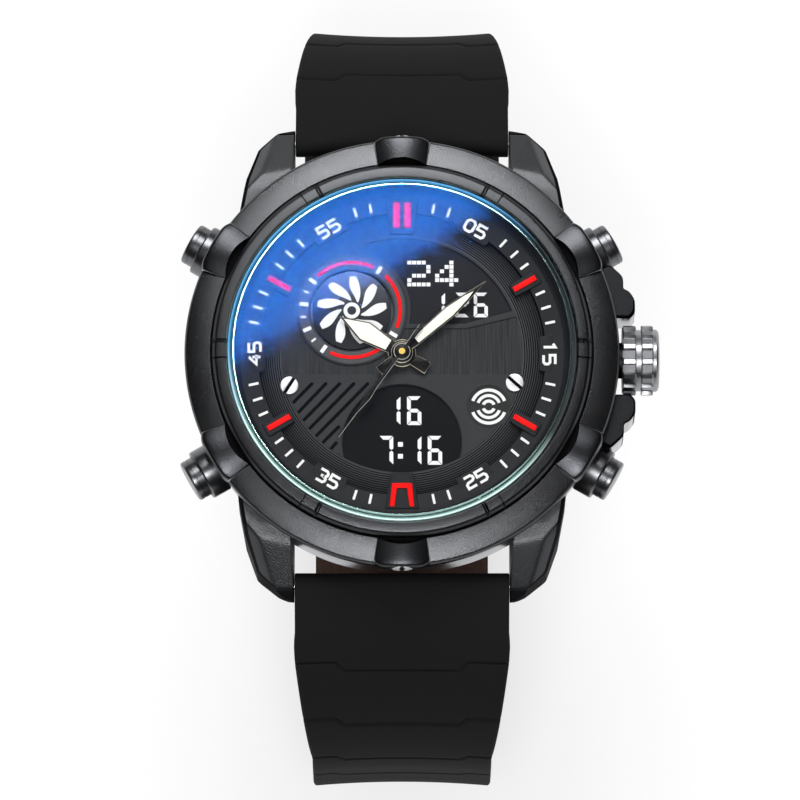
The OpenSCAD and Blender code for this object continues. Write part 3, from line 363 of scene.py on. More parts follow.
angles = all_round(RING_STEPS)
outer_profile = rounded([(19.0, 10.4), (19.0, 12.5), (19.6, 12.5), (19.6, 12.0), (WALL_R, 12.0),
                         (WALL_R, 12.62), (23.98, 12.0), (24.2, 11.7), (24.2, 10.7), (23.9, 10.4)],
                        [0.05, 0.05, 0.05, 0.02, 0.02, 0.1, 0.12, 0.12, 0.2, 0.1])
ring = turned(outer_profile, angles)
follows = np.interp(outer_profile[:, 0], [21.0, 21.28, 23.5], [0, 1, 0]) * (outer_profile[:, 0] > 21.2)
reach = np.hypot(ring[..., 0], ring[..., 1])
ring[..., :2] *= ((reach + follows * (inner_edge(angles) - WALL_R)[:, None]) / reach)[..., None]


def saddle(turn):
    """A saddle as a grid: u runs over its left wall, its rounded top and its right wall, v from its inner
    wall to its outer face. The top falls as 0.52 u^2 to its sides, and its outer corners draw in by 0.4 w^2,
    where w runs from 0 at u = 0.62 to 1 at the side. Its edges beside the ring take the bright polished
    finish as a painted highlight line."""
    u = np.concatenate([[-1, -1, -0.99, -0.965], np.linspace(-0.93, 0.93, 37), [0.965, 0.99, 1, 1]])
    side = np.concatenate([[0, 0.9, 0.97, 1.0], np.ones(37), [1.0, 0.97, 0.9, 0]])
    v = np.array([0, 0.008, 0.02, 0.035, 0.3, 0.5, 0.7, 0.85, 0.93, 0.965, 0.985, 1, 1])
    top = np.array([11.0, 13.0, 13.17, 13.22, 13.19, 13.16, 13.11, 13.05, 12.98, 12.85, 12.68, 12.4, 11.0])
    x = u[:, None] * (2.74 + 0.42 * v)
    start = inner_edge(np.pi / 2 + x[:, 0] / SADDLE_R)[:, None] - 0.06
    corner = np.clip((np.abs(u) - 0.62) / 0.38, 0, 1)[:, None]
    r = start + (24.5 - 0.4 * corner ** 2 - start) * v
    z = top[0] + (np.maximum(top - 0.52 * u[:, None] ** 2, top[0]) - top[0]) * side[:, None]
    y = np.sqrt(np.maximum(r ** 2 - x ** 2, 0))
    a = turn - np.pi / 2
    grid = np.stack([x * np.cos(a) - y * np.sin(a), x * np.sin(a) + y * np.cos(a), z], -1)
    # The strips along both edges take the polished finish as a painted highlight line.
    bright = np.zeros(len(u) - 1, int)
    bright[[1, 2, -2, -3]] = 1
    return (*shell(grid, columns=False), np.repeat(bright, len(v) - 1))


# This near-black finish is painted shade, for the bezel's floor ring and the screws' slots.
slot_black = surface("slot_shadow_black", "#101011", 0.5, 0.1, 0.1)
# The floor ring under the inner wall is a near-black sheet of painted shade.
floor_ring = spun([(21.1, 11.9), (21.1, 12.03), (22.0, 12.03), (22.0, 11.9)], RING_STEPS)
piece("bezel_ring", [shell(ring, rows=True), (*floor_ring, 1)], [blasted_black, slot_black],
      nodes=["bezel_outer"], sharp=40)
# The saddles are cut after the ring is blasted, and their satin backs show broad soft lights.
satin_black = surface("satin_black_steel", "#434447", 0.31, 0.2, 0.08)
piece("bezel_saddles", [saddle(a) for a in SADDLES], [satin_black, polished_band],
      sharp=50)

# Inner bezel ring: steel blasted with a finer grit, with six pairs of milled notches.
# One notch of each pair is a hairline, and the other is wider and dark.
NOTCH_R = 20.4
notch_angles, notch_depth = np.array([
    ((middle + offset / NOTCH_R + step / NOTCH_R) % (2 * np.pi), depth)
    for middle, wide in zip(np.radians(60 * np.arange(6)), (1, 1, -1, -1, 1, -1))
    for offset, half in ((0.97 * wide, 0.26), (-0.97 * wide, 0.1))
    for step, depth in ((-half, 0), (-0.03, 1), (0.03, 1), (half, 0))]).T
angles = np.unique(np.concatenate([all_round(360), notch_angles]))
cut = np.interp(angles, notch_angles, notch_depth, period=2 * np.pi)
inner_profile = rounded([(19.46, 12.02), (19.46, 13.55), (19.66, 13.7), (20.75, 13.58), (21.12, 13.1),
                         (21.12, 12.02)], [0.02, 0.06, 0.06, 0.2, 0.15, 0.02])
ring = turned(inner_profile, angles)
raised = np.clip((inner_profile[:, 1] - 12.9) / 0.3, 0, 1)
ring[..., 2] -= 0.3 * raised * cut[:, None]
fine_black = surface("fine_blasted_black_steel", "#464749", 0.29, 0.1, 0.22)
piece("inner_bezel_ring", [shell(ring, rows=True)], [fine_black], nodes=["bezel_inner"],
      sharp=35)

# Screws in the saddles at twelve and six: satin steel with a slot across the head.
# Each head is two half moons on a near-black disc of painted shade, so that the slot stays crisp.


def sheet(outlines, low, high, edge=0.0, inset=0.0):
    """A flat sheet between two heights, filled between its outlines drawn in by inset, with broken edges."""
    curve = bpy.data.curves.new("outline", "CURVE")
    curve.dimensions, curve.fill_mode = "2D", "BOTH"
    curve.extrude = max((high - low) / 2 - edge, 1e-4)
    curve.bevel_depth, curve.offset, curve.bevel_resolution = edge, -edge - inset, 1 if edge else 0
    for outline in outlines:
        outline = np.asarray(outline, float)
        line = curve.splines.new("POLY")
        line.points.add(len(outline) - 1)
        line.points.foreach_set("co", np.insert(outline, [2, 2], [0, 1], 1).ravel())
        line.use_cyclic_u = True
    made = linked("outline", curve)
    mesh = bpy.data.meshes.new_from_object(made.evaluated_get(bpy.context.evaluated_depsgraph_get()))
    points = np.empty(len(mesh.vertices) * 3)
    mesh.vertices.foreach_get("co", points)
    faces = [list(f.vertices) for f in mesh.polygons]
    bpy.data.objects.remove(made)
    bpy.data.curves.remove(curve)
    bpy.data.meshes.remove(mesh)
    return points.reshape(-1, 3) + (0, 0, (low + high) / 2), faces


def circle(x, y, r, count=96, start=0.0, stop=2 * np.pi):
    """Points round a circle, or along the arc from start to stop."""
    a = np.linspace(start, stop, count, endpoint=stop - start < 6.28)
    return np.column_stack([x + r * np.cos(a), y + r * np.sin(a)])


def slotted(r, slot, low, high, edge):
    """A slotted head of radius r: two half moons with a slot between them, on a lower disc of painted shade.
    """
    a = math.asin(slot / 2 / r)
    right = circle(0, 0, r, 40, -np.pi / 2 + a, np.pi / 2 - a)
    return [sheet([right, -right], low, high, edge),
            (*sheet([circle(0, 0, r - edge)], low - 0.1, (low + high) / 2), 1)]


def placed(part, rotation, place):
    """A shell turned by a 3 by 3 matrix and moved."""
    return (np.asarray(part[0]) @ np.asarray(rotation, float).T + place, *part[1:])


SCREW_Y, SCREW_Z = 24.1, 11.7
heads = [placed(part, [[-sign, 0, 0], [0, 0, sign], [0, 1, 0]], (0, sign * SCREW_Y, SCREW_Z))
         for sign in (1, -1) for part in slotted(1.2, 0.3, 0.0, 0.42, 0.18)]
# The screws are turned and nickelled, with a satin face.
satin_steel = surface("satin_nickel_steel", "#eeeef0", 0.5, 0.15, 0.05, spread=0.03)
piece("bezel_screw_heads", heads, [satin_steel, slot_black], nodes=["bezel_screws"])

# Crystal: a flat disc of hardened mineral glass with a polished bevel and a blue anti-reflection coating.
# It is pressed into its seal, and lamps shine through it on the dial.
def clear(name, coat_colour, rough, tint="#ffffff", share=None):
    """Clear glass: a transparent body under a thin mirror, whose share is a number, or runs with the
    distance from a point, or follows Fresnel's law."""
    made = bpy.data.materials.new(name)
    tree = emptied(made)
    where = add(tree, "ShaderNodeTexCoord")["Object"]
    wave = add(tree, "ShaderNodeTexNoise", {"Vector": where, "Scale": 120.0})["Fac"]
    ground = add(tree, "ShaderNodeMapRange", {"Value": wave, "To Min": rough * 0.9, "To Max": rough * 1.1})
    body = add(tree, "ShaderNodeBsdfTransparent", {"Color": linear(tint)})
    mirror = add(tree, "ShaderNodeBsdfPrincipled", {
        "Base Color": linear(coat_colour), "Metallic": 1.0, "Roughness": ground[0]})
    if share is None:
        share = add(tree, "ShaderNodeFresnel", {"IOR": 1.28})[0]
    elif isinstance(share, tuple):
        share = by_distance(tree, where, *share)
    mixed = add(tree, "ShaderNodeMixShader", {0: share, 1: body[0], 2: mirror[0]})
    add(tree, "ShaderNodeOutputMaterial", {"Surface": mixed[0]})
    return made


def painted(name, colour, rough, grain_mm=0.08, bump=0.15, spread=0.10, **more):
    """A painted, moulded or leather surface."""
    return surface(name, colour, rough, grain_mm, bump, spread, metallic=False, **more)


# The coating sends back about 1.5 % of the light, nearly all of it blue.
coated_glass = clear("coated_mineral_glass", "#2c86ff", 0.035)
# The bevel is bent away from the eye and gathers the white round the watch, with a pale green tint.
# Its mirror share falls towards the right with the distance from a point there, as painted shade.
GLASS_R, GLASS_TOP, GLASS_FOOT = 19.18, 13.9, 12.78
# Points for the painted shade on the right and, towards six o'clock, the seal's painted white reflection.
PAINTED_SHADE_POINT, PAINTED_WHITE_POINT = (60, 5, LIFT + 13), (0, 60, LIFT + 13)
bevel_glass = clear("bevelled_glass_edge", "#ccf8f0", 0.12, "#f2fffb", (PAINTED_SHADE_POINT, (46, 52), (0.09, 0.6)))
# The lower face is uncoated, so it is nearly invisible.
back_glass = clear("uncoated_mineral_glass", "#3390ff", 0.05, share=0.0005)
face = spun([(r, GLASS_TOP) for r in (0, 6, 12, 17, 18.4, 18.72)], closed=False)
rim = spun([(18.72, GLASS_TOP), (18.76, GLASS_TOP), (19.14, 13.46), (GLASS_R, 13.38), (GLASS_R, GLASS_FOOT)],
           closed=False)
under = spun([(r, GLASS_FOOT) for r in (GLASS_R, 19.0, 10, 0)], closed=False)
crystal = piece("crystal_disc", [face, (*rim, 1), (*under, 2)], [coated_glass, bevel_glass, back_glass],
                nodes=["crystal"])
# The box that the coating mirrors lights only the crystal.
# Its lower edge passes 16 mm from the mirrored line of sight, turned by 31 degrees.
BOX_REACH, BOX_SIDE, BOX_EDGE = 600, 160, 16.2
lean = math.radians(31)
mirrored = Vector((0, math.sin(TILT), math.cos(TILT)))
mirror_up = Vector((0, math.cos(TILT), -math.sin(TILT)))
aside = -math.sin(lean) * Vector((1, 0, 0)) + math.cos(lean) * mirror_up
along = aside.cross(mirrored)
place = Vector((0, 0, LIFT + GLASS_TOP)) + BOX_REACH * mirrored + (BOX_EDGE + BOX_SIDE / 2) * aside
mirror_box = softbox("mirror_box", 3.15, (BOX_SIDE / 1000, BOX_SIDE / 1000), place / 1000,
                     Matrix((along, aside, mirrored)).transposed())
mirror_lit = bpy.data.collections.new("lit_by_mirror_box")
mirror_lit.objects.link(crystal)
mirror_box.light_linking.receiver_collection = mirror_lit
# The crystal's seal is a ring pressed in round the glass; its blue is a painted reflection of the coating.
# It has painted shade on the right, and towards six o'clock a painted white reflection of the table.
seal_painted_light = painted("seal_painted_blue_reflection", "#4f9fdc", 0.4, 0.3, 0.02, 0.04,
                     fade=(PAINTED_SHADE_POINT, (45.5, 52), (0.02, 1.0)),
                     second=("#e6fffa", PAINTED_WHITE_POINT, (62, 72), (0.0, 1.0)))
seal = [(18.9, 12.5), (19.38, 12.5), (19.38, 13.36), (19.34, 13.42), (19.2, 13.42), (19.19, 12.76),
        (18.9, 12.76)]
piece("crystal_seal", [spun(seal)], [seal_painted_light], nodes=["crystal_gasket"])

# Dial: a brushed black plate under raised matt panels, with two digital windows cut through both.
# A ring of fine turned grooves steps down from it to the minute ring.
matt_dial = painted("matt_black_dial_paint", "#38393a", 0.6, 0.12, 0.3, 0.12, specular=0.2)
brushed_dial = painted("brushed_black_dial", "#2d2e2f", 0.45, 0.15, 0.4, 0.5, brushed=True, specular=0.25)
# The turned ring darkens towards its outer edge: partly a darker spray, partly painted shade beside the
# minute ring's wall.
groove_dial = painted("turned_black_dial", "#484a4c", 0.45, 0.1, 0.1, 0.08, specular=0.2,
                      fade=((0, 0, LIFT + 10.4), (13.4, 15.7), (1.0, 0.2)))
# The grooves' walls and floors and the slots' floors are near-black, glossless painted shade.
groove_shade_paint = painted("painted_groove_shade", "#0b0b0c", 0.7, 0.1, 0.1, 0.05, specular=0.1)
SUB, SUB_R = np.array([-5.6, 5.0]), 6.24
PANEL_R = 13.5


def high_window():
    """Outline of the upper window: the arc of 13.2 mm radius, the slanting floor and the sub-dial's side."""
    r, side, x = 13.2, SUB_R + 0.35, -4.1
    upper = circle(0, 0, r, 60, math.atan2(4.95, 12.3), math.acos(x / r))
    left = circle(*SUB, side, 24, math.acos((x - SUB[0]) / side), math.asin((3.5 - SUB[1]) / side))
    return np.concatenate([upper, left, [(7.0, 3.5)]])


def low_window(margin):
    """Outline of the lower window: a circle of 6.6 mm radius cut by the panel's edge."""
    ring = circle(0, -10.05, 6.62 + margin, 200)
    reach = np.hypot(ring[:, 0], ring[:, 1])
    return ring * np.minimum(1, (13.35 + margin) / reach)[:, None]


def bar(ends, w):
    """A straight bar between two points, with its corners rounded."""
    a, b = np.array(ends)
    d = (b - a) / np.linalg.norm(b - a)
    n = np.array([-d[1], d[0]]) * w / 2
    return rounded([a - n, b - n, b + n, a + n], 0.1, 3)


base = sheet([circle(0, 0, PANEL_R, 200), high_window(), low_window(0.0), circle(*SUB, 4.6),
              circle(0, 0, 1.33, 40)], 10.22, 10.45)
EMBLEM, EMBLEM_R = (9.64, -5.92), 2.5
EDGE_R, PANEL_FOOT, PANEL_TOP = PANEL_R - 0.05, 10.44, 10.62
edge_angle = math.asin(-2.24 / EDGE_R)
panel_edge = circle(0, 0, EDGE_R, 160, np.pi - edge_angle, 2 * np.pi + edge_angle)
# Eight slots are cut in the lower panel, each given by its ends.
slots = [((-9.922, -3.25), (-12.111, -5.529)), ((-8.389, -3.25), (-11.556, -6.641)),
         ((-6.844, -3.25), (-10.967, -7.548)), ((-5.267, -3.25), (-10.333, -8.511)),
         ((-3.722, -3.25), (-9.622, -9.373)), ((-6.944, -8.137), (-8.833, -10.065)),
         ((-7.222, -9.951), (-7.944, -10.79)), ((-6.978, -11.323), (-7.111, -11.459))]
vents, floors = ([bar(ends, wide) for ends in slots] for wide in (0.34, 0.44))
lower_panel = sheet([panel_edge, low_window(0.06), circle(*EMBLEM, EMBLEM_R, 64)] + vents,
                    PANEL_FOOT, PANEL_TOP, 0.07)
# The slots' floors take the painted groove shade.
vent_floors = [(*sheet([outline], 10.4, 10.47), 3) for outline in floors]
band = np.concatenate([circle(0, 0, PANEL_R, 60, math.atan2(4.3, 12.8), math.acos(-4.3 / PANEL_R)),
                       circle(*SUB, SUB_R - 0.3, 24, 1.3, -0.35), [(7.1, 2.95)]])
window_rim = sheet([band, high_window()], PANEL_FOOT, PANEL_TOP, 0.04)
steps = []
for k in range(10):
    r, z = PANEL_R + 0.245 * k, 10.6 - 0.025 * k
    steps += [(r, z), (r + 0.115, z), (r + 0.13, z - 0.08), (r + 0.23, z - 0.08)]
steps += [(16.1, 10.26), (16.1, 10.22), (PANEL_R, 10.22)]
annulus = spun(steps, 240)
# The grooves' walls and floors take the painted groove shade; the flat lands take the turned finish.
lands = np.tile(np.where(np.arange(len(steps)) % 4 == 0, 2, 3), 240)
piece("dial_face", [(*base, 0), (*lower_panel, 1), (*window_rim, 1), (*annulus, lands)] + vent_floors,
      [brushed_dial, matt_dial, groove_dial, groove_shade_paint], nodes=["dial_plate"], sharp=25)

# Minute ring: a moulded black ring with six raised pads for the hour bars and six low tabs for the numerals.
# Its ticks and numerals are white pad print.
ring_paint = painted("moulded_black_ring", "#242527", 0.55, 0.1, 0.2, 0.1, specular=0.2)
white_print = painted("white_pad_print", "#f4f4f2", 0.5, 0.2, 0.03, 0.02)
chapter_profile = rounded([(16.0, 10.6), (16.0, 11.0), (18.05, 11.15), (18.45, 11.5), (18.85, 12.4),
                           (18.9, 12.4), (18.9, 10.6)], [0.02, 0.08, 0.1, 0.15, 0.02, 0.02, 0.02])


def turned_flat(outline, angle):
    """A flat outline turned about the hands' axis by an angle in degrees."""
    a = math.radians(angle)
    return np.asarray(outline, float) @ np.array([[math.cos(a), math.sin(a)], [-math.sin(a), math.cos(a)]])


def block(r_in, r_out, w_in, w_out, cut, steps=5):
    """Outline of a block along +X between two radii, with its width at each and rounded corners."""
    return rounded([(r_in, -w_in / 2), (r_out, -w_out / 2), (r_out, w_out / 2), (r_in, w_in / 2)], cut, steps)


CORNERS = (30, 150, 210, 330)
parts = [spun(chapter_profile, 240)]
for places, pad, top, edge in ((CORNERS, (14.15, 17.55, 1.5, 1.7, 0.3), 11.32, 0.14),
                               ((90, 270), (13.6, 17.6, 2.6, 3.8, 0.25), 11.3, 0.12),
                               (range(0, 360, 60), (15.25, 16.8, 3.9, 4.3, 0.3), 11.07, 0.06)):
    parts += [sheet([turned_flat(block(*pad), a)], 10.3, top, edge) for a in places]
piece("minute_ring", parts, [ring_paint], nodes=["chapter_ring"], sharp=30)

# The strokes of each digit, 1 wide and 1.3 high.
GLYPHS = {
    "0": [[(0, 0.25), (0.25, 0), (0.75, 0), (1, 0.25), (1, 1.05), (0.75, 1.3), (0.25, 1.3), (0, 1.05)]],
    "1": [[(0.1, 1.05), (0.5, 1.3), (0.5, 0)]],
    "2": [[(0, 1.3), (0.8, 1.3), (1, 1.1), (1, 0.85), (0.8, 0.68), (0.2, 0.62), (0, 0.45), (0, 0), (1, 0)]],
    "3": [[(0, 1.3), (0.8, 1.3), (1, 1.1), (1, 0.85), (0.75, 0.66), (1, 0.45), (1, 0.2), (0.8, 0), (0, 0)],
          [(0.3, 0.66), (0.75, 0.66)]],
    "4": [[(0.8, 1.3), (0, 0.45), (1.05, 0.45)], [(0.8, 0.9), (0.8, 0)]],
    "5": [[(1, 1.3), (0, 1.3), (0, 0.72), (0.8, 0.72), (1, 0.52), (1, 0.2), (0.8, 0), (0, 0)]],
}


def ribbon(line, closed):
    """Outlines of a line 0.3 mm wide: each point is moved both ways along its mitred normal."""
    p = np.array(line, float)
    ahead, behind = np.roll(p, -1, 0) - p, p - np.roll(p, 1, 0)
    if not closed:
        ahead[-1], behind[0] = behind[-1], ahead[0]
    unit = lambda v: v / np.linalg.norm(v, axis=1, keepdims=True)
    a, b = unit(ahead), unit(behind)
    n = unit(np.column_stack([-(a + b)[:, 1], (a + b)[:, 0]]))
    stretch = 1 / np.maximum(np.abs((n * np.column_stack([-a[:, 1], a[:, 0]])).sum(1)), 0.5)
    shift = n * (stretch * 0.3 / 2)[:, None]
    if closed:
        return [p + shift, (p - shift)[::-1]]
    return [np.concatenate([p + shift, (p - shift)[::-1]])]


NUMERAL_R = 16.4


def numeral(text, turn):
    """Outlines of a minute's two digits, each 1.3 mm high, at its place on the ring and turned by degrees."""
    a, outlines = math.radians(90 - 6 * int(text)), []
    place = NUMERAL_R * math.cos(a), NUMERAL_R * math.sin(a)
    for k, digit in enumerate(text):
        for line in GLYPHS[digit]:
            moved = np.array(line) + (k * 1.42 - 1.21, -0.65)
            outlines += [turned_flat(o, turn) + place for o in ribbon(moved, digit == "0")]
    return outlines


# The minutes beside the pads and numerals, and under them, have no tick.
BARE = {1, 4, 6, 14, 16, 24, 26, 29, 31, 34, 36, 44, 46, 54, 56, 59} | set(range(0, 60, 5))
tick = block(16.3, 17.42, 0.28, 0.28, 0.04, 2)
ticks = sheet([turned_flat(tick, 90 - 6 * minute) for minute in range(60) if minute not in BARE], 11.1, 11.16)
turns = {"05": -30, "15": -90, "25": 30, "35": -30, "45": 90, "55": 30}
numbers = [line for text, turn in turns.items() for line in numeral(text, turn)]
piece("minute_print", [ticks, sheet(numbers, 11.06, 11.13)], [white_print], sharp=30)

# Hour bars: red lacquered blocks on the six pads.
# The lacquer is glossy and rounds off their edges.
red_lacquer = painted("red_lacquer", "#ff0e0a", 0.45, 0.3, 0.02, 0.04, specular=0.1)
bars = [turned_flat(block(14.35, 17.2, 0.62, 0.62, 0.08), a) for a in CORNERS]
bars += [turned_flat(block(14.25, 17.15, 0.78, 0.78, 0.08) + (0, s * 0.61), 90) for s in (-1, 1)]
bars.append(turned_flat(rounded([(17.4, -1.36), (17.4, -0.84), (15.32, -0.56), (15.32, 0.56), (17.4, 0.84),
                                 (17.4, 1.36), (14.75, 1.12), (14.75, -1.12)], 0.1, 3), 270))
piece("hour_bars", [sheet([b], 11.25, 11.5, 0.06) for b in bars], [red_lacquer], nodes=["hour_markers"],
      sharp=30)

# Sub-dial: a raised ring with white marks and red arcs round a turning black disc.
# The disc carries a plain fan of white blades and turns on its own arbor.
ring_profile = rounded([(4.6, 10.2), (4.6, 10.72), (4.85, 10.86), (5.95, 10.86), (SUB_R, 10.7),
                        (SUB_R, 10.44)], [0.02, 0.06, 0.05, 0.08, 0.06, 0.02])
sub_ring_paint = painted("satin_black_ring", "#3d3e40", 0.42, 0.1, 0.1, 0.06)
piece("subdial_rim", [spun(ring_profile, 160, centre=SUB)], [sub_ring_paint], nodes=["subdial_ring"],
      sharp=28)


def arc_band(centre, r_in, r_out, start, stop, count):
    """Outline of an arc about a centre, by angles in degrees from +X."""
    a, b = math.radians(start), math.radians(stop)
    return np.concatenate([circle(*centre, r_out, count, a, b), circle(*centre, r_in, count, b, a)])


marks = [turned_flat(block(r_in, r_out, w, w, 0.03, 2), 90 - angle) + SUB for angle, r_in, r_out, w in (
    (34, 4.98, 5.92, 0.42), (121, 4.95, 5.9, 0.42), (215, 4.95, 5.9, 0.42), (246, 4.95, 5.9, 0.42),
    (277, 4.85, 5.85, 0.42), (307, 4.95, 5.9, 0.42), (231, 5.15, 5.75, 0.22), (261.5, 5.15, 5.75, 0.22),
    (292, 5.15, 5.75, 0.22))]
piece("subdial_marks", [sheet(marks, 10.85, 10.91)], [white_print])
arcs = [arc_band(SUB, 5.2, 5.6, *ends, 40) for ends in ((-225, -297), (46, -22), (-38, -116))]
piece("subdial_arcs", [sheet([a], 10.85, 10.93, 0.02) for a in arcs], [red_lacquer])
disc_profile = rounded([(0, 10.32), (0, 10.55), (4.42, 10.55), (4.42, 10.32)], [0.0, 0.0, 0.05, 0.02])
disc_black = painted("gloss_black_disc", "#191a1b", 0.3, 0.2, 0.03, 0.05)
t = np.linspace(0, 1, 12)
r = 1.15 + 2.75 * t
blades = []
for k in range(9):
    a = math.radians(40 * k + 12)
    edges = [np.column_stack([r * np.cos(turn), r * np.sin(turn)])
             for turn in (a + 0.55 * t, a + 0.16 + 0.55 * t + 0.30 * np.sin(np.pi * t ** 0.8))]
    blades.append(SUB + np.concatenate([edges[0], edges[1][::-1]]))
eye = [circle(*SUB, 0.92, 32), circle(*SUB, 0.5, 32)]
fan = [(*sheet(lines, 10.54, 10.58), 1) for lines in (blades, eye)]
piece("turning_disc", [spun(disc_profile, 96, centre=SUB)] + fan, [disc_black, white_print], body="subdial",
      nodes=["subdial_disc"])

# Digital windows: black glass over a display with bright white segments.
# The upper one shows a dotted number over a date, the lower one a date over the time.
lcd_glass = painted("black_display_glass", "#17181a", 0.22, 0.4, 0.01, 0.03, specular=0.25)
# The upper window's display has a greyer ground.
grey_glass = painted("grey_display_glass", "#262628", 0.22, 0.4, 0.01, 0.03, specular=0.25)
lcd_white = painted("white_display_segments", "#fbfbfb", 0.5, 0.3, 0.0, 0.01)
SEGMENTS = {"1": "bc", "2": "abged", "4": "fgbc", "6": "afgedc", "7": "abc"}


def segment_digit(digit, x, y, w=1.6, h=3.26, t=0.42):
    """Outlines of a seven-segment digit from its lower left corner: bars t wide, mitred, with gaps g."""
    m, k, g = h / 2, t / 2, 0.05
    bars = {
        "a": [(g + 0.05, h), (w - g - 0.05, h), (w - t - g, h - t), (t + g, h - t)],
        "d": [(t + g, t), (w - t - g, t), (w - g, 0), (g, 0)],
        "g": [(k + g, m), (t + g, m + k), (w - t - g, m + k), (w - k - g, m), (w - t - g, m - k),
              (t + g, m - k)],
        "f": [(0, h - g), (t, h - t - g), (t, m + k + g * 0.6), (k, m + g), (0, m + k)],
        "b": [(w, h - g), (w, m + k), (w - k, m + g), (w - t, m + k + g * 0.6), (w - t, h - t - g)],
        "e": [(0, g), (0, m - k), (k, m - g), (t, m - k - g * 0.6), (t, t + g)],
        "c": [(w, g), (w - t, t + g), (w - t, m - k - g * 0.6), (w - k, m - g), (w, m - k)],
    }
    return [np.array(bars[s]) + (x, y) for s in SEGMENTS[digit]]


DOTS = {"2": ["####.", "....#", "....#", ".###.", "#....", "#####"],
        "4": ["...#.", "..##.", ".#.#.", "#..#.", "#####", "...#."]}
low = [line for place in (("1", -1.77, -7.95), ("6", 0.56, -7.95), ("7", -2.57, -12.45),
                          ("1", 0.56, -12.45), ("6", 2.86, -12.45)) for line in segment_digit(*place)]
low += [rounded([(-0.45, y), (0.1, y), (0.1, y + 0.52), (-0.45, y + 0.52)], 0.03, 2) for y in (-11.75, -10.4)]
high = [line for digit, x in (("1", 3.23), ("2", 5.9), ("6", 8.0))
        for line in segment_digit(digit, x, 4.3, 1.57, 2.8, 0.38)]
dot = np.array([(0, 0), (0.45, 0), (0.45, 0.42), (0, 0.42)])
high += [dot + (x + 0.53 * column, 10.33 - 0.5 * row) for digit, x in (("2", 0.6), ("4", 3.7))
         for row, line in enumerate(DOTS[digit]) for column, mark in enumerate(line) if mark == "#"]
piece("display_segments", [sheet(lines, 10.19, 10.23) for lines in (low, high)], [lcd_white])

# Dial screws and the round badge: satin screws hold the dial, and the badge is a black inlay.
# The badge's pattern is plain nested arcs in white.
heads = []
for x, y, turn in ((-12.53, -3.58, 58), (12.53, -3.25, -42)):
    a = math.radians(turn - 90)
    matrix = [[math.cos(a), -math.sin(a), 0], [math.sin(a), math.cos(a), 0], [0, 0, 1]]
    heads += [placed(part, matrix, (x, y, 0)) for part in slotted(1.0, 0.34, 10.55, 10.9, 0.06)]
piece("dial_screw_heads", heads, [satin_steel, slot_black], nodes=["dial_screws"])
waves = [arc_band(EMBLEM, *radii, start, start + 140, 30)
         for radii in ((0.45, 0.8), (1.08, 1.42), (1.7, 2.05)) for start in (20, 200)]
badge = [(*sheet([circle(*EMBLEM, EMBLEM_R - 0.04, 64)], 10.4, 10.52), 0), (*sheet(waves, 10.51, 10.55), 1)]
piece("round_badge", badge, [disc_black, white_print])

# Hands: thin black frames filled with pale luminous paste, and a needle for the seconds.
# Their edges are cut bright, and a gold arbor stands in the middle.
lume = painted("luminous_paste", "#fffdf0", 0.6, 0.15, 0.15, 0.03)
hand_black = painted("black_lacquered_hand", "#0e0e0f", 0.35, 0.2, 0.02, 0.04, specular=0.2)
cut_edge = surface("bright_cut_edge", "#b8b19c", 0.45, 0.2, 0.02, spread=0.02)
# The needle's edges are a pale matt paint that stands in for their highlight, a painted highlight.
needle_highlight_paint = painted("needle_edge_painted_highlight", "#dedacb", 0.5, 0.2, 0.03, 0.03, specular=0.3)
# A turned brass pin with a thin gold plating.
gilt = surface("gilt_brass", "#e8c46a", 0.4, 0.2, 0.03, spread=0.03)


def hand(outline, fill, tail, angle, low, high, boss, rim=0.04, shift=0.0):
    """Shells of a hand: bright edge below, black frame above, luminous fill on top and a tail behind.
    A shift of the frame leaves the edge in view on one side only, as a one-sided painted highlight."""
    middle, ring = low + 0.6 * (high - low), circle(0, 0, boss, 48)
    parts = ((outline, shift), (tail, -shift))
    made = [(*sheet([turned_flat(line, -angle)], low, middle, 0.02), 1) for line, off in parts]
    made += [(*sheet([turned_flat(np.add(line, (off, 0)), -angle)], middle - 0.01, high, 0.02, rim), 0)
             for line, off in parts]
    made += [(*sheet([ring], low, middle + 0.02, 0.02), 1),
             (*sheet([ring], middle, high + 0.01, 0.03, 0.06), 0)]
    if fill:
        made.append((*sheet([turned_flat(fill, -angle)], high - 0.04, high + 0.05, 0.03), 2))
    return made


hour_outline = [(-0.62, 0.6), (-0.8, 1.6), (-1.18, 4.8), (0, 8.1), (1.18, 4.8), (0.8, 1.6), (0.62, 0.6)]
hour_fill = [(-0.63, 1.75), (-1.03, 4.8), (0, 7.6), (1.03, 4.8), (0.63, 1.75)]
hour_tail = [(-0.6, -0.6), (0.6, -0.6), (0.72, -3.35), (-0.72, -3.35)]
piece("hour_hand_lume", hand(hour_outline, hour_fill, hour_tail, 301, 11.1, 11.36, 1.56),
      [hand_black, cut_edge, lume], body="hour", nodes=["hour_hand"], sharp=28)
minute_outline = [(-0.4, 0.6), (-0.55, 2.0), (-0.72, 7.0), (-0.5, 9.2), (0, 12.4), (0.5, 9.2), (0.72, 7.0),
                  (0.55, 2.0), (0.4, 0.6)]
minute_fill = [(-0.42, 2.1), (-0.58, 7.0), (-0.28, 9.5), (0, 10.6), (0.28, 9.5), (0.58, 7.0), (0.42, 2.1)]
minute_tail = [(-0.45, -0.6), (0.45, -0.6), (0.6, -3.3), (-0.6, -3.3)]
piece("minute_hand_lume", hand(minute_outline, minute_fill, minute_tail, 49, 11.59, 11.85, 1.22),
      [hand_black, cut_edge, lume], body="minute", nodes=["minute_hand"], sharp=28)
second_outline = [(-0.14, 0.5), (-0.17, 5.0), (-0.32, 6.4), (-0.07, 8.6), (-0.05, 12.0), (0.05, 12.0),
                  (0.07, 8.6), (0.32, 6.4), (0.17, 5.0), (0.14, 0.5)]
second_tail = [(-0.16, -0.5), (0.16, -0.5), (0.26, -3.6), (-0.26, -3.6)]
piece("second_needle", hand(second_outline, None, second_tail, 216, 12.08, 12.33, 0.93, 0.0, 0.045),
      [hand_black, needle_highlight_paint], body="second", nodes=["second_hand"], sharp=28)

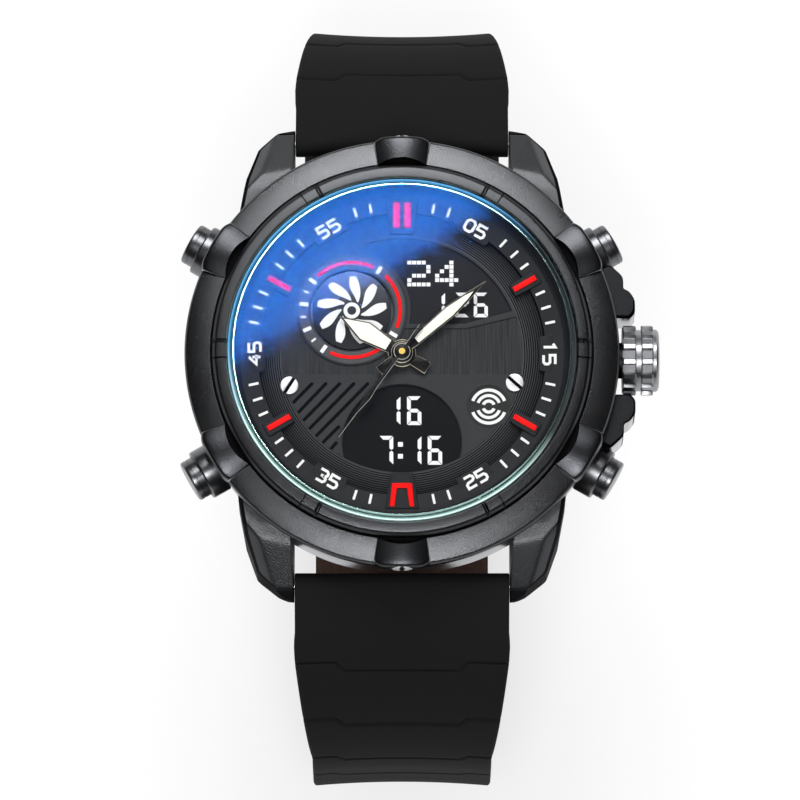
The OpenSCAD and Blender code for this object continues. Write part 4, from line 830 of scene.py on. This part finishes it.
# Crown: polished steel with two bands of fourteen ridges and a domed cap.
# The waist between the bands is turned smooth.
STEM_Z, FLUTES = 7.1, 14
outer = np.array([[24.55, 3.2], [24.55, 3.6], [24.72, 3.93], [25.98, 3.95], [26.08, 3.88], [26.1, 3.45],
                  [26.66, 3.45], [26.68, 3.88], [26.78, 3.95], [27.88, 3.95], [27.98, 3.88], [28.0, 3.5],
                  [28.35, 3.5], [28.55, 3.35], [28.67, 3.0], [28.7, 2.4], [28.7, 0.0]])
back = np.array([[24.55, 3.2], [24.55, 2.4], [26.6, 2.35], [26.6, 0.62]])
fluted = np.array([0, 0.2, 1, 1, 1, 0, 0, 1, 1, 1, 1, 0, 0, 0, 0, 0, 0])
wave = np.tile([0, 1, 1, 0], FLUTES)
turn = (all_round(FLUTES)[:, None] + np.array([-0.105, -0.06, 0.06, 0.105])).ravel()


def outward(d, r, turn, height, angle=0):
    """Distances and radii turned about an axis that points outwards from the case at an angle in degrees."""
    a, side, d = math.radians(angle), r * np.cos(turn)[:, None], d + 0 * turn[:, None]
    return np.stack([d * math.cos(a) - side * math.sin(a), d * math.sin(a) + side * math.cos(a),
                     height + r * np.sin(turn)[:, None]], -1)


ridged = outward(outer[:, 0], outer[:, 1] - 0.36 * fluted * (1 - wave)[:, None], turn, STEM_Z)
crown_steel = surface("polished_crown_steel", "#97989b", 0.33, 0.2, 0.01, spread=0.02)
backed = outward(*back.T, turn, STEM_Z)
piece("fluted_crown", [shell(grid, rows=True, columns=False) for grid in (ridged, backed)], [crown_steel],
      body="crown", nodes=["crown"], sharp=20)

# Pushers: polished black caps that plunge into collars screwed to the case.
# A bright tube flange shows between each collar and the case.
PLACES, PUSHER_Z = {"2": 30, "4": -30, "8": 210, "10": 150}, 6.2
collar = rounded([(23.6, 2.0), (23.6, 2.88), (25.85, 2.88), (25.85, 2.45), (25.0, 2.45), (25.0, 2.0)],
                 [0.05, 0.15, 0.25, 0.05, 0.02, 0.02])
flange = rounded([(23.2, 1.2), (23.2, 2.62), (23.7, 2.62), (23.7, 1.2)], 0.05)
polished_steel = surface("polished_steel", "#d0d1d4", 0.16, 0.2, 0.04, spread=0.03)
polished_dark = surface("polished_black_steel", "#707174", 0.3, 0.2, 0.01, spread=0.03)
tubes = [(*shell(outward(*tube.T, all_round(72), PUSHER_Z, place), rows=True), kind)
         for place in PLACES.values() for kind, tube in enumerate((collar, flange))]
piece("pusher_collars", tubes, [polished_dark, polished_steel], nodes=["pusher_tubes"])
# A fine line is turned round each cap near its end.
cap = np.concatenate([
    [(24.9, 0.9), (24.9, 2.36), (26.55, 2.37), (26.58, 2.31), (26.64, 2.31), (26.67, 2.37)],
    rounded([(26.7, 2.37), (27.3, 2.37), (27.3, 0.0)], [0.0, 0.28, 0.0])[4:8], [(27.3, 0.0)]])
for name, place in PLACES.items():
    turned_cap = shell(outward(*cap.T, all_round(72), PUSHER_Z, place), rows=True, columns=False)
    piece("pusher_cap_" + name, [turned_cap], [polished_dark], body="button_" + name,
          nodes=["pusher_" + name], sharp=35)

# Strap: two moulded rubber halves, each a bent band that tapers from the lugs.
# Shallow grooves step across the outer face, and a brown lining is bonded to the inner face.
BAR_X, BAR_Y, BAR_Z, UPPER_R, LOWER_R, REACH, SIDE_L = 11.94, 25.3, 5.2, 24.0, 26.0, 42.7, 8.0
STRAP_T, LINING_T, END_W = 3.0, 0.8, 10.1
END_R = STRAP_T / 2
UPPER_Y, LOWER_Y = REACH - UPPER_R, REACH - LOWER_R
START = math.acos((BAR_Y - UPPER_Y) / (UPPER_R - END_R))
UPPER_Z = BAR_Z - (UPPER_R - END_R) * math.sin(START)
LOWER_Z = UPPER_Z - SIDE_L
S_SIDE = UPPER_R * START
S_LOWER = S_SIDE + SIDE_L
S_FOOT = S_LOWER + LOWER_R * math.pi / 2
S_TAIL = S_FOOT + LOWER_Y + 0.5


def lean_at(s):
    """Angle of the strap's outward direction above +Y at a distance from the spring bar."""
    return np.select([s < S_SIDE, s < S_LOWER, s < S_FOOT],
                     [START - s / UPPER_R, 0 * s, -(s - S_LOWER) / LOWER_R], -np.pi / 2)


def spot(s, depth):
    """Y and Z at a distance along the strap and a depth under its outer face, which is an arc, a straight
    side, a second arc and a straight foot."""
    a = lean_at(s)
    out = np.stack([np.cos(a), np.sin(a)], -1)
    side = np.stack([REACH + 0 * s, UPPER_Z - (s - S_SIDE)], -1)
    foot = np.stack([LOWER_Y - (s - S_FOOT), LOWER_Z - LOWER_R + 0 * s], -1)
    outer = np.select([(s < end)[..., None] for end in (S_SIDE, S_LOWER, S_FOOT)],
                      [(UPPER_Y, UPPER_Z) + UPPER_R * out, side, (LOWER_Y, LOWER_Z) + LOWER_R * out], foot)
    return outer - depth[..., None] * out


def half_width(s):
    """Half the strap's width: 11.94 mm between the lugs, 12.05 mm just past them and 10.1 mm past 26 mm."""
    return np.interp(s, [0, 5.5, 7.0, 9.0, 26.0], [BAR_X, BAR_X, 12.05, 11.95, END_W])


# Moulded silicone rubber: matt, with a fine eroded texture of about 0.1 mm.
rubber = painted("moulded_black_rubber", "#171717", 0.8, 0.1, 0.25, 0.06, specular=0.12)
# Brown bonded leather with pores of about 0.5 mm.
lining_leather = painted("brown_bonded_leather", "#432617", 0.6, 0.5, 0.5, 0.2)


def band_grid(stations, side, top, bottom, across, trim):
    """A closed band: each station is a loop over the outer face and back under it. top and bottom give the
    depth at (station, width, share of half width); trim gives the half width there."""
    s, u = np.meshgrid(stations, across, indexing="ij")
    w = trim(s) * u
    upper, lower = (np.concatenate([w[..., None], spot(s, face(s, w, u)) * (side, 1)], -1)
                    for face in (top, bottom))
    return shell(np.concatenate([upper, lower[:, ::-1]], 1), ends=True)


def groove(s, w):
    """Depth of the moulded grooves: lines 8 mm apart, 0.3 mm wide, whose middle part is set 1.1 mm on."""
    set_on = 1.1 * np.clip((7.4 - np.abs(w)) / 1.1, 0, 1)
    off = s[..., None] - 9.0 - 8.0 * np.arange(8) - set_on[..., None]
    return np.clip(1.4 - np.abs(off) / 0.18, 0, 1).max(-1)


def rubber_top(s, w, u):
    """Depth of the outer face: 0.45 mm hollow in the middle, rounded edges and the grooves."""
    edge = np.clip((np.abs(u) - 0.965) / 0.035, 0, 1)
    hollow = 0.45 * (1 - u ** 2) * np.clip(s / 8, 0, 1)
    return hollow + 0.35 * edge ** 2 * np.clip(s / 3, 0, 1) + 0.28 * groove(s, w) * (s < 70)


GROOVED, S_TIP = 68, S_TAIL - END_W
across = np.concatenate([np.linspace(-1, -0.96, 4), np.linspace(-0.94, 0.94, 61), np.linspace(0.96, 1, 4)])
fine = np.arange(0, GROOVED, 0.22)
stations = np.unique(np.concatenate([fine, np.linspace(GROOVED, S_FOOT, 14)]))
tail_stations = np.unique(np.concatenate([fine, np.linspace(GROOVED, S_TIP, 14),
                                          S_TIP + END_W * np.sin(np.linspace(0, np.pi / 2, 20))]))


def tail_width(s):
    """Half width of the lower half, whose tail ends in a half circle."""
    return half_width(s) * np.sqrt(1 - np.clip((s - S_TIP) / END_W, 0, 0.9995) ** 2)


def bar_end(side):
    """The strap's rolled end round the spring bar: a rod of 1.5 mm radius with softened ends."""
    profile = rounded([(-BAR_X, 0.95), (-BAR_X, END_R), (BAR_X, END_R), (BAR_X, 0.95)],
                      [0.02, 0.15, 0.15, 0.02])
    grid = outward(*profile.T, all_round(48), BAR_Z) + (0, BAR_Y, 0)
    return shell(grid * (1, side, 1), rows=True)


LINED = 4.6
lining_line = np.concatenate([np.linspace(-0.99, -0.95, 3), np.linspace(-0.9, 0.9, 13),
                              np.linspace(0.95, 0.99, 3)])
lined = (np.linspace(LINED, S_FOOT - 5, 60), tail_stations[tail_stations > LINED][::3])
rolled = lambda s, w, u: STRAP_T - LINING_T + LINING_T * np.clip((4.5 - s) / 0.3, 0, 1)
lining_top = lambda s, w, u: STRAP_T - LINING_T + 0.01 + 0 * s
lining_end = lambda s, w, u: STRAP_T - 0.12 * np.clip((np.abs(u) - 0.93) / 0.06, 0, 1)
halves = (("upper", "12", 1, stations, lined[0], half_width),
          ("lower", "6", -1, tail_stations, lined[1], tail_width))
for half, hour, side, line, below, width in halves:
    piece(f"strap_{half}_rubber", [band_grid(line, side, rubber_top, rolled, across, width), bar_end(side)],
          [rubber], body="strap_" + half, nodes=["strap_" + hour], sharp=40)
for half, hour, side, line, below, width in halves:
    piece(f"lining_{half}_leather", [band_grid(below, side, lining_top, lining_end, lining_line, width)],
          [lining_leather], body="strap_" + half, nodes=["lining_" + hour])


# Keepers: two moulded rubber loops hold the tail, one fixed and one free to slide.
# They follow the strap's bend.
def keeper(s0):
    """A rounded loop of rubber: its cross-section is carried round the strap's own outline."""
    def loop(s, out):
        """The cross-section at a distance along the strap, raised outwards."""
        w, top, low = END_W + 0.3 + out, -0.3 - out, STRAP_T + 0.3 + out
        turn = rounded([(-w, top), (w, top), (w, low), (-w, low)], 0.35 + 0.6 * out, 6)
        return np.column_stack([turn[:, 0], spot(s + 0 * turn[:, 0], turn[:, 1])])
    rim = rounded([(-2, 0.0), (-2, 1.0), (2, 1.0), (2, 0.0)], [0.02, 0.3, 0.3, 0.02])
    return shell(np.stack([loop(s0 + d, out) for d, out in rim]), rows=True)


for kind, body, back_by in (("fixed", "strap_upper", 11.5), ("free", "keeper", 20)):
    piece(f"keeper_{kind}_rubber", [keeper(S_FOOT - back_by)], [rubber], body=body, nodes=["keeper_" + kind])

# What stays as the CAD solid gets the finish of the real piece.
# Inside are a brass train, a copper coil, a green board and a steel button cell.
brushed_steel = surface("brushed_case_back_steel", "#b4b6b9", 0.3, 0.15, 0.12)
black_nitrile = painted("black_nitrile_rubber", "#141414", 0.5, 0.2, 0.1)
green_board = painted("green_solder_mask", "#1f5b3a", 0.35, 0.3, 0.05)
holder_plastic = painted("cream_acetal", "#d9d6cc", 0.45, 0.2, 0.05)
copper = surface("enamelled_copper_wire", "#b86a34", 0.3, 0.1, 0.3)
module_steel = surface("nickel_plated_steel", "#9a9ea3", 0.28, 0.2, 0.06)
PUSHER_PARTS = " ".join(f"pusher_{part}_{hour}" for part in ("spring", "clip") for hour in PLACES)
for made_of, names in ((grey_glass, "lcd_upper"), (lcd_glass, "lcd_lower"), (brushed_steel, "case_back"),
                       (black_nitrile, "case_back_gasket crown_gasket"), (green_board, "circuit_board"),
                       (holder_plastic, "movement_holder"), (copper, "stepper_coil"),
                       (gilt, "second_arbor hour_wheel cannon_pinion stem_pinion buzzer"),
                       (module_steel, "movement_module battery battery_clip crown_stem " + PUSHER_PARTS),
                       (polished_steel, "case_back_screws spring_bar_12 spring_bar_6 buckle_pin"),
                       (polished_dark, "buckle_tongue"), (shaded_side_steel, "crown_tube"),
                       (milled_black, "buckle_frame")):
    for name in names.split():
        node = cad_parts[name]
        node.data.materials.clear()
        node.data.materials.append(made_of)
